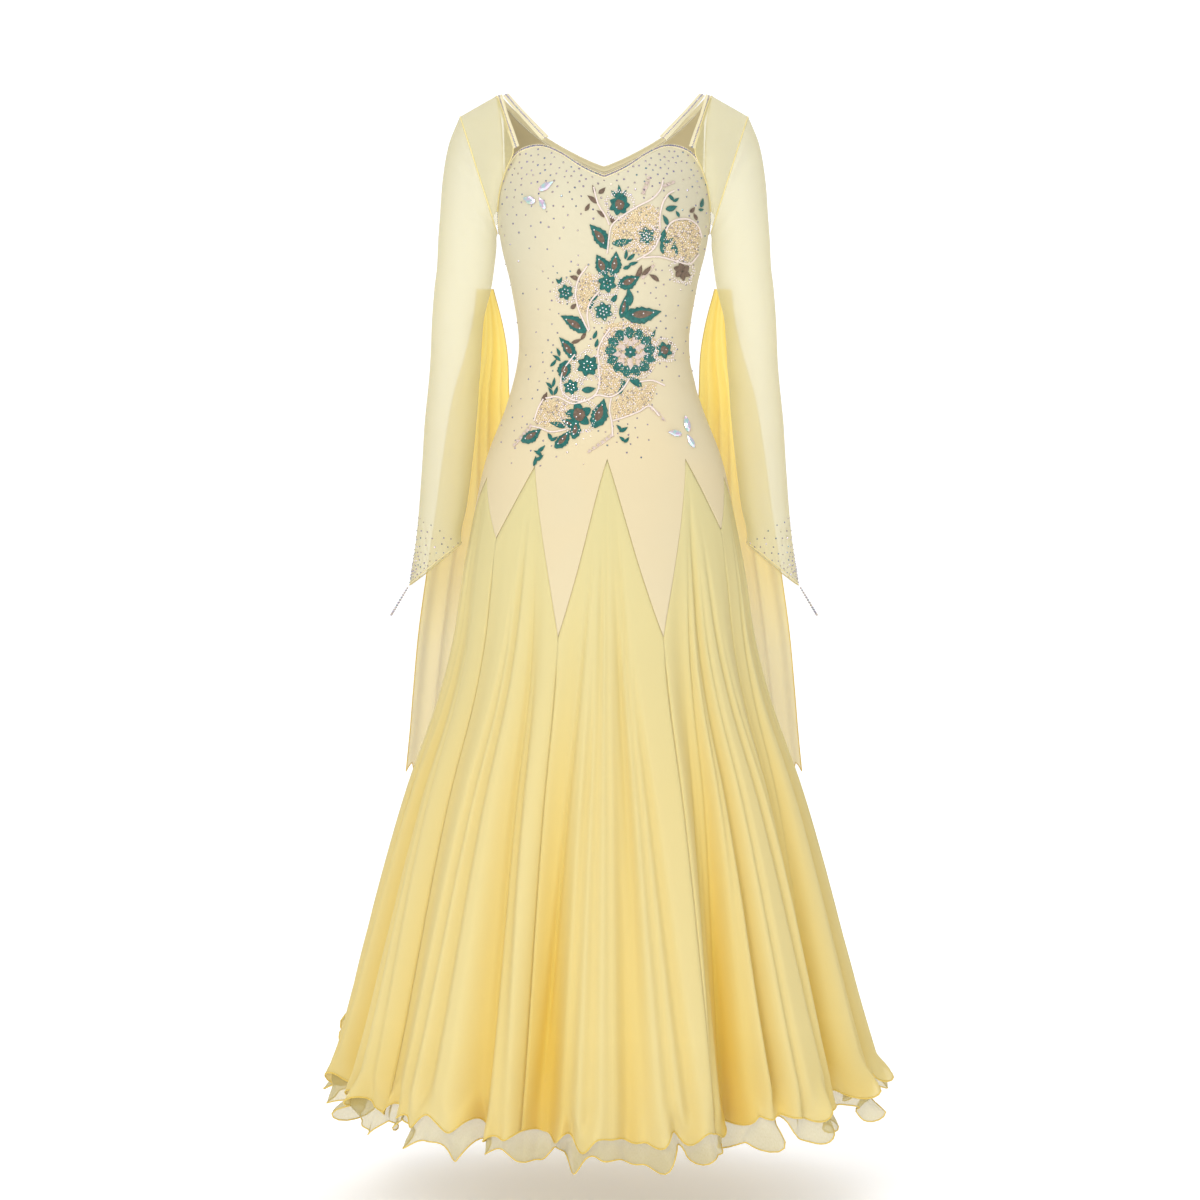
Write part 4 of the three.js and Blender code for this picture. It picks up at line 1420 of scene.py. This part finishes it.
# Flowers: x, level, radius, petals, and the kind.
FLOWERS = [
    (20, -165, 13, 7, "teal on taupe"),
    (55, -204, 11, 6, "beaded"),
    (102, -245, 11, 6, "taupe"),
    (4, -264, 12, 6, "ringed"),
    (-50, -275, 10, 6, "ringed"),
    (-1, -300, 12, 6, "beaded"),
    (78, -349, 11, 6, "teal on taupe"),
    (-21, -371, 14, 7, "ringed"),
    (-43, -399, 10, 6, "ringed"),
    (-33, -436, 17, 5, "teal on taupe"),
]
ROSE_X, ROSE_LEVEL = 34, -353


def smooth_line(corners, steps=10):
    """A smooth line through a few corners."""
    rows = np.linspace(0, len(corners) - 1, steps * (len(corners) - 1) + 1)
    return np.stack([row_read(corners, k, rows) for k in (0, 1)], axis=-1)


STITCH_WALL = 0.0005


def stitched(name, shapes, material):
    """Raised satin-stitched shapes on the bodice. A shape is x, level, turn, length, width, lift,
    how pointed it is and how deeply its edge is toothed."""
    bm = bmesh.new()
    weave = bm.loops.layers.uv.new("weave")
    for x, z, turn, long, wide, lift, pointed, teeth in shapes:
        known = len(bm.verts)
        rows = 16 if long > 14 else 9
        made = bmesh.ops.create_grid(bm, x_segments=6, y_segments=rows, size=1)["verts"]
        flat = np.array([(v.co.x, v.co.y) for v in made])
        for face in {f for v in made for f in v.link_faces}:
            face.smooth = True
            for corner in face.loops:
                corner[weave].uv = (corner.vert.co.x * wide * MM, corner.vert.co.y * long * MM)
        aside, along = flat[:, 0], (flat[:, 1] + 1) / 2
        filled = np.clip(along, 0.02, 0.98) ** (1 - 0.25 * pointed)
        plump = np.sin(math.pi * filled) ** (0.55 + 0.35 * pointed)
        tooth = 1 - teeth * np.mod(along * 6, 1) * np.abs(aside) ** 2
        local_x = aside * wide / 2 * plump * tooth + 0.05 * long * np.sin(math.pi * along)
        local_y = (along - 0.5) * long
        c, s = math.cos(math.radians(turn)), math.sin(math.radians(turn))
        padded = 0.9 * (1 - aside**2) * np.minimum(1, wide / 10)
        raised = lift + padded - 0.35 * hollow(aside / 0.25)
        places, _ = on_front(x + local_x * c - local_y * s, z + local_x * s + local_y * c, raised)
        for vert, place in zip(made, places):
            vert.co = place * MM
    mesh = bpy.data.meshes.new(name)
    bm.to_mesh(mesh)
    bm.free()
    piece = new_object(name, mesh)
    thick = piece.modifiers.new("stitches", "SOLIDIFY")
    thick.thickness = STITCH_WALL
    thick.offset = -1
    return finish_piece(piece, [material])


def net_patches():
    """Sheer net in each patch: a grid cut to the patch's corners and laid on the bodice."""
    whole = bmesh.new()
    for corners in NET_PATCHES:
        corners = np.array(corners, float)
        low, high = corners.min(0), corners.max(0)
        patch = bmesh.new()
        bmesh.ops.create_grid(patch, x_segments=20, y_segments=20, size=0.5)
        for vert in patch.verts:
            vert.co.x = low[0] + (vert.co.x + 0.5) * (high[0] - low[0])
            vert.co.y = low[1] + (vert.co.y + 0.5) * (high[1] - low[1])
        middle = corners.mean(0)
        for a, b in zip(corners, np.roll(corners, -1, axis=0)):
            side = np.array([b[1] - a[1], a[0] - b[0]])
            side = side * np.sign(np.dot(side, a - middle))
            bmesh.ops.bisect_plane(
                patch,
                geom=patch.verts[:] + patch.edges[:] + patch.faces[:],
                plane_co=(*a, 0),
                plane_no=(*side, 0),
                clear_outer=True,
            )
        flat = np.array([v.co[:2] for v in patch.verts])
        places, _ = on_front(flat[:, 0], flat[:, 1], np.full(len(flat), 0.7))
        for vert, place in zip(patch.verts, places):
            vert.co = place * MM
        kept = bpy.data.meshes.new("patch")
        patch.to_mesh(kept)
        patch.free()
        whole.from_mesh(kept)
    for face in whole.faces:
        face.smooth = True
    mesh = bpy.data.meshes.new("lace_net")
    whole.to_mesh(mesh)
    whole.free()
    return finish_piece(new_object("lace_net", mesh), [NET], ["applique_front"])


def inside(corners, x, z):
    """Whether a point lies in a patch."""
    found = False
    for (ax, az), (bx, bz) in zip(corners, corners[1:] + corners[:1]):
        if (az > z) != (bz > z) and x < (bx - ax) * (z - az) / (bz - az) + ax:
            found = not found
    return found


net = net_patches()
leaf_shapes, core_shapes, taupe_shapes, pale_shapes, white_dots = [], [], [], [], []
for x, z, turn, long, wide, cored in TEAL_LEAVES:
    leaf_shapes.append((x, z, turn, long * 1.06, wide * 1.1, 1.2, 1.0, 0.26 if wide > 12 else 0.05))
    if cored:
        core_shapes.append((x, z, turn, long * 0.6, wide * 0.5, 1.75, 0.8, 0.0))
        for share in (-0.28, 0.02, 0.3):
            s, c = math.sin(math.radians(turn)), math.cos(math.radians(turn))
            white_dots.append((x - share * long * s + 2.0 * c * share, z + share * long * c, 2.0))
for x, z, turn, long, wide in TAUPE_LEAVES:
    taupe_shapes.append((x, z, turn, long, wide, 1.1, 0.9, 0.06))
for ax, az, bx, bz, pairs in SPRIGS:
    way = math.degrees(math.atan2(-(bx - ax), bz - az))
    for k in range(pairs):
        share = (k + 0.5) / pairs
        for lean in (42, -42):
            at = (ax + (bx - ax) * share, az + (bz - az) * share)
            pale_shapes.append((*at, way + lean, 8 - 3 * share, 2.6, 1.0, 0.9, 0.0))
for x, z, radius, petals, kind in FLOWERS:
    for k in range(petals):
        turn = 360 * k / petals + 11
        s, c = math.sin(math.radians(turn)), math.cos(math.radians(turn))
        far = radius * 0.56
        petal = (x - far * s, z + far * c, turn, radius * 0.95, radius * 0.72)
        if kind == "taupe":
            taupe_shapes.append((*petal, 1.3, 0.25, 0.15))
        else:
            leaf_shapes.append((*petal, 1.3, 0.3, 0.08))
        if kind == "ringed":
            white_dots += [(x - radius * 1.08 * s, z + radius * 1.08 * c, 1.7)]
            white_dots += [(x - radius * 0.4 * s, z + radius * 0.4 * c, 1.9)]
        if kind == "beaded":
            white_dots += [(x - radius * r * s, z + radius * r * c, 2.3) for r in (0.38, 0.85)]
    if kind == "teal on taupe":
        core_shapes.append((x, z, 20, radius * 1.05, radius * 0.95, 1.9, 0.1, 0.0))
        white_dots += [(x + 2, z + 1, 1.8), (x - 3, z - 3, 1.8)]
    if kind == "beaded":
        white_dots.append((x, z, 2.4))
for petals, radius, long, wide, start in ((13, 25.5, 15, 15.5, 4), (9, 17.5, 10, 9, 20)):
    for k in range(petals):
        turn = start + 360 * k / petals
        s, c = math.sin(math.radians(turn)), math.cos(math.radians(turn))
        shape = (ROSE_X - radius * s, ROSE_LEVEL + radius * c, turn, long, wide)
        (leaf_shapes if petals == 13 else pale_shapes).append((*shape, 1.4, 0.15, 0.1))
        white_dots.append((ROSE_X - 22.5 * s, ROSE_LEVEL + 22.5 * c, 1.9))
for k in range(6):
    turn = 60 * k
    s, c = math.sin(math.radians(turn)), math.cos(math.radians(turn))
    pale_shapes.append((ROSE_X - 11 * s, ROSE_LEVEL + 11 * c, turn, 8, 8, 1.5, 0.2, 0.0))
    leaf_shapes.append((ROSE_X - 5 * s, ROSE_LEVEL + 5 * c, turn, 7.5, 5.5, 1.9, 0.3, 0.1))
    white_dots.append((ROSE_X - 8.5 * s, ROSE_LEVEL + 8.5 * c, 1.5))
white_dots.append((ROSE_X, ROSE_LEVEL, 2.6))

stitched("lace_leaves", leaf_shapes, TEAL)
stitched("lace_leaf_middles", core_shapes, TAUPE)
stitched("lace_taupe_leaves", taupe_shapes, TAUPE)
stitched("lace_pale_sprigs", pale_shapes, PALE_THREAD)

stem_paths = []
for corners in STEMS:
    line = smooth_line(corners)
    stem_paths.append(on_front(line[:, 0], line[:, 1], np.full(len(line), 1.3))[0])
tubes("lace_stems", stem_paths, 1.2, [CORD_THREAD])
twig_paths = []
for ax, az, bx, bz, _ in SPRIGS:
    share = np.linspace(0, 1, 12)
    bend = 3 * np.sin(math.pi * share)
    x, z = ax + (bx - ax) * share + bend, az + (bz - az) * share
    twig_paths.append(on_front(x, z, np.full(12, 0.9))[0])
tubes("lace_twigs", twig_paths, 0.5, [PALE_THREAD])

# Beads fill the net, and small white stones sit on the leaves and flowers.
random.seed(21)
gold, mauve, pale = [], [], []
for corners in NET_PATCHES:
    box = np.array(corners)
    (low_x, low_z), (high_x, high_z) = box.min(0), box.max(0)
    level, odd = low_z, 0
    while level < high_z:
        x = low_x + 1.15 * odd
        while x < high_x:
            at = (x + random.uniform(-0.5, 0.5), level + random.uniform(-0.5, 0.5))
            if inside(corners, *at) and random.random() < 0.8:
                random.choice((gold, gold, gold, gold, pale, pale, mauve)).append(at)
            x += 2.8
        level, odd = level + 2.5, 1 - odd
halo = []
rings = [(x, z, radius, ring) for x, z, radius, _, _ in FLOWERS for ring in (1.22, 1.42)]
for x, z, radius, ring in rings + [(ROSE_X, ROSE_LEVEL, far, 1.0) for far in (33, 36.5)]:
    count = round(2 * math.pi * radius * ring / 2.9)
    for k in range(count):
        turn = 2 * math.pi * k / count
        wobble = radius * ring + random.uniform(-0.9, 0.9) + 1.2 * math.sin(5 * turn)
        if random.random() < 0.86:
            halo.append((x + wobble * math.cos(turn), z + wobble * math.sin(turn)))


def seats_on_front(points, lift, sizes):
    x, z = np.array([p[0] for p in points]), np.array([p[1] for p in points])
    places, outs = on_front(x, z, np.full(len(points), lift))
    return [(p, o, random.uniform(0, 1), size) for p, o, size in zip(places, outs, sizes)]


for name, points, lift, size, made in (
    ("gold", gold, 1.2, 2.0, GOLD_BEAD),
    ("mauve", mauve, 1.3, 1.8, STONE),
    ("pale", halo + pale, 1.0, 2.3, PALE_BEAD),
):
    seats = seats_on_front(points, lift, [size] * len(points))
    scatter(f"lace_{name}_beads", BEAD, seats, [made], smooth=True)
dots = seats_on_front(white_dots, 2.4, [size for _, _, size in white_dots])
scatter("lace_white_stones", ROUND_STONE, dots, [WHITE_STONE])

# ---------------------------------------------------------------- scattered stones

LACE_SPOTS = [(leaf[0], leaf[1], 0.5 * leaf[3]) for leaf in TEAL_LEAVES + TAUPE_LEAVES]
LACE_SPOTS += [(x, z, radius) for x, z, radius, _, _ in FLOWERS] + [(ROSE_X, ROSE_LEVEL, 34)]


def stone_gaps(x, z, top):
    """How far apart the stones are at each place of the bodice: 0 where there are none."""
    away = np.min([np.hypot(x - lx, z - lz) - far for lx, lz, far in LACE_SPOTS], axis=0)
    gap = 6.9 + np.maximum(0, -118 - z) * 0.075
    gap = np.where(z < -190, np.minimum(gap + (-190 - z) * 0.12, 40), gap)
    near_lace = 7.2 + away * 0.36
    gap = np.where((z < -232) & (away < 34), np.minimum(gap, near_lace), gap)
    gap = np.where((z < -408) & (x < 6), np.minimum(gap, 10 + away * 0.2), gap)
    gap = np.where(z < -470, gap + (-470 - z) * 0.4, gap)
    bare = (away < 2.5) | (gap > 36) | ((z < -330) & (away > 42)) | (z > top - 7)
    return np.where(bare, 0, gap)


rolled = np.random.default_rng(5)
tries_x, tries_z = rolled.uniform(-136, 136, 16000), rolled.uniform(-512, -86, 16000)
tries_angle = angle_at(tries_x, tries_z)
tries_top = smooth_read(FRONT_TOP, 1, np.minimum(np.abs(tries_angle), 90))
gaps = stone_gaps(tries_x, tries_z, tries_top)
gaps = np.where(tries_z > zigzag_level(tries_angle) + 6, gaps, 0)
chosen = np.zeros((0, 2))
for x, z, gap in zip(tries_x, tries_z, gaps):
    if gap == 0 or (len(chosen) and np.min(np.hypot(chosen[:, 0] - x, chosen[:, 1] - z)) < gap):
        continue
    if not any(inside(corners, x, z) for corners in NET_PATCHES):
        chosen = np.vstack([chosen, (x, z)])
BUST_STONES, WAIST_STONES, CUFF_STONES = (2.5, 2.8, 3.1), (2.2, 2.5, 2.8), (1.9, 2.2, 2.5)
sizes = [random.choice(BUST_STONES if z > -200 else WAIST_STONES) for _, z in chosen]
scatter("bodice_stones", ROUND_STONE, seats_on_front(chosen, 0.1, sizes), [STONE])

cuff_turns, cuff_rows = rolled.uniform(-180, 180, 5000), rolled.uniform(8.2, 9.96, 5000)
cuff_places = sleeve_place(cuff_turns, cuff_rows)
cuff_ahead = sleeve_place(cuff_turns + 1, cuff_rows) - cuff_places
cuff_above = sleeve_place(cuff_turns, cuff_rows - 0.02) - cuff_places
cuff_outs = unit(np.cross(cuff_ahead, cuff_above))
middles = cuff_places.copy()
middles[:, :2] = np.stack([row_read(SLEEVE, k, cuff_rows) for k in (0, 1)], axis=-1)
cuff_outs *= np.sign(np.sum(cuff_outs * (cuff_places - middles), axis=1))[:, None]
from_tip = np.linalg.norm(cuff_places - LOOP_TOP, axis=1)
cuff_gaps = 3.3 + np.maximum(0, from_tip - 22) * 0.085
cuff_stones, taken = [], np.zeros((0, 3))
for place, out, gap in zip(cuff_places, cuff_outs, cuff_gaps):
    if gap > 9.5 or (len(taken) and np.min(np.linalg.norm(taken - place, axis=1)) < gap):
        continue
    taken = np.vstack([taken, place])
    for mirror in (1, -1):
        seat = (place + out * 0.2) * (mirror, 1, 1)
        turn, size = random.uniform(0, 1), random.choice(CUFF_STONES)
        cuff_stones.append((seat, out * (mirror, 1, 1), turn, size))
scatter("cuff_stones", ROUND_STONE, cuff_stones, [STONE])

# Drop stones in two clusters of three: name, x, level, turn, length.
DROPS = [
    ("stone_bust_upper", -75, -140, -62, 17),
    ("stone_bust_left", -97, -156, 72, 17),
    ("stone_bust_lower", -80, -162, 28, 14),
    ("stone_hip_upper", 108, -446, 4, 17),
    ("stone_hip_left", 92, -459, 84, 15),
    ("stone_hip_lower", 113, -469, 24, 15),
]


def drop_mesh():
    """A drop-shaped stone 1 mm long: a girdle, two rings of facets and a table."""
    bm = bmesh.new()
    made = bmesh.ops.create_circle(bm, cap_ends=True, segments=12, radius=0.5 * MM)
    for vert in made["verts"]:
        if vert.co.y > 0:
            vert.co.x *= 1 - 0.62 * vert.co.y / (0.5 * MM)
        vert.co.x *= 0.47
    face = bm.faces[:]
    for high, inset in ((0.07, 0.0), (0.06, 0.09), (0.05, 0.07)):
        raised = bmesh.ops.extrude_face_region(bm, geom=face)["geom"]
        face = [g for g in raised if isinstance(g, bmesh.types.BMFace)]
        verts = list({v for f in face for v in f.verts})
        bmesh.ops.translate(bm, verts=verts, vec=(0, 0, high * MM))
        if inset:
            shrink = 1 - inset * 2.2
            bmesh.ops.scale(bm, verts=verts, vec=(shrink * 0.92, shrink, 1))
    bmesh.ops.recalc_face_normals(bm, faces=bm.faces)
    mesh = bpy.data.meshes.new("drop stone")
    bm.to_mesh(mesh)
    bm.free()
    return mesh


drop = drop_mesh()
for name, x, z, turn, long in DROPS:
    place, out = on_front(np.array([x]), np.array([z]), np.array([0.6]))
    scatter(
        name.replace("stone", "drop_stone"),
        drop,
        [(place[0], out[0], math.radians(turn), long * 1.32)],
        [DROP_STONE],
        [name],
    )

# ---------------------------------------------------------------- stage, in metres

FLOOR_LEVEL, FLOOR_NEAR, FLOOR_WIDE = -1.47, -5, 9
FLAT_RUN, BEND_RUN, WHOLE_RUN, BEND_RADIUS = 7.5, 3, 14, 1.91


def build_stage():
    """A pale floor that curves up into the backdrop."""
    bm = bmesh.new()
    bmesh.ops.create_grid(bm, x_segments=2, y_segments=60, size=1)
    for vert in bm.verts:
        run = (vert.co.y + 1) / 2 * WHOLE_RUN
        turn = min(max(run - FLAT_RUN, 0), BEND_RUN) / BEND_RUN * math.pi / 2
        rise = max(run - FLAT_RUN - BEND_RUN, 0)
        vert.co.x *= FLOOR_WIDE
        vert.co.y = FLOOR_NEAR + min(run, FLAT_RUN) + BEND_RADIUS * math.sin(turn)
        vert.co.z = FLOOR_LEVEL + BEND_RADIUS * (1 - math.cos(turn)) + rise
    for face in bm.faces:
        face.smooth = True
    mesh = bpy.data.meshes.new("floor")
    bm.to_mesh(mesh)
    bm.free()
    floor = new_object("floor", mesh)
    paper = Shader("white paper")
    body = paper.add("BsdfPrincipled")
    body.inputs["Base Color"].default_value = (0.95, 0.95, 0.95, 1)
    body.inputs["Roughness"].default_value = 0.9
    body.inputs["Emission Color"].default_value = (1, 1, 1, 1)
    body.inputs["Emission Strength"].default_value = 0.28
    paper.surface(body.outputs[0])
    floor.data.materials.append(paper.material)


def area_light(name, place, target, size, watts, colour=(1, 1, 1)):
    light = bpy.data.lights.new(name, "AREA")
    light.shape = "RECTANGLE"
    light.size, light.size_y = size
    light.energy = watts
    light.color = colour
    made = bpy.data.objects.new(name, light)
    made.location = place
    made.rotation_euler = (Vector(target) - Vector(place)).to_track_quat("-Z", "Y").to_euler()
    bpy.context.scene.collection.objects.link(made)


build_stage()
area_light("key", (-1.1, -3.8, 1.0), (0, 0, -0.7), (1.6, 2.2), 84, (1, 0.99, 0.97))
area_light("fill", (2.4, -3.2, 0.3), (0, 0, -0.8), (1.8, 2.4), 18, (0.97, 0.98, 1))
area_light("top", (0, 0.4, 2.6), (0, 0, -0.6), (3.0, 3.0), 30)
area_light("back", (0.6, 3.0, 0.8), (0, 0, -0.7), (3.0, 2.4), 20)

world = bpy.data.worlds.new("studio")
bpy.context.scene.world = world
world.use_nodes = True
world.node_tree.nodes["Background"].inputs["Color"].default_value = (0.96, 0.97, 1, 1)
world.node_tree.nodes["Background"].inputs["Strength"].default_value = 0.5

bpy.context.scene.view_settings.view_transform = "Standard"

camera = bpy.data.objects.new("camera", bpy.data.cameras.new("camera"))
bpy.context.scene.collection.objects.link(camera)
camera.data.sensor_width = 36
camera.data.lens = 78.4
camera.location = (-0.0054, -3.5, -0.677)
camera.rotation_euler = (math.pi / 2, 0, 0)
camera.data.clip_start, camera.data.clip_end = 0.1, 50
bpy.context.scene.camera = camera
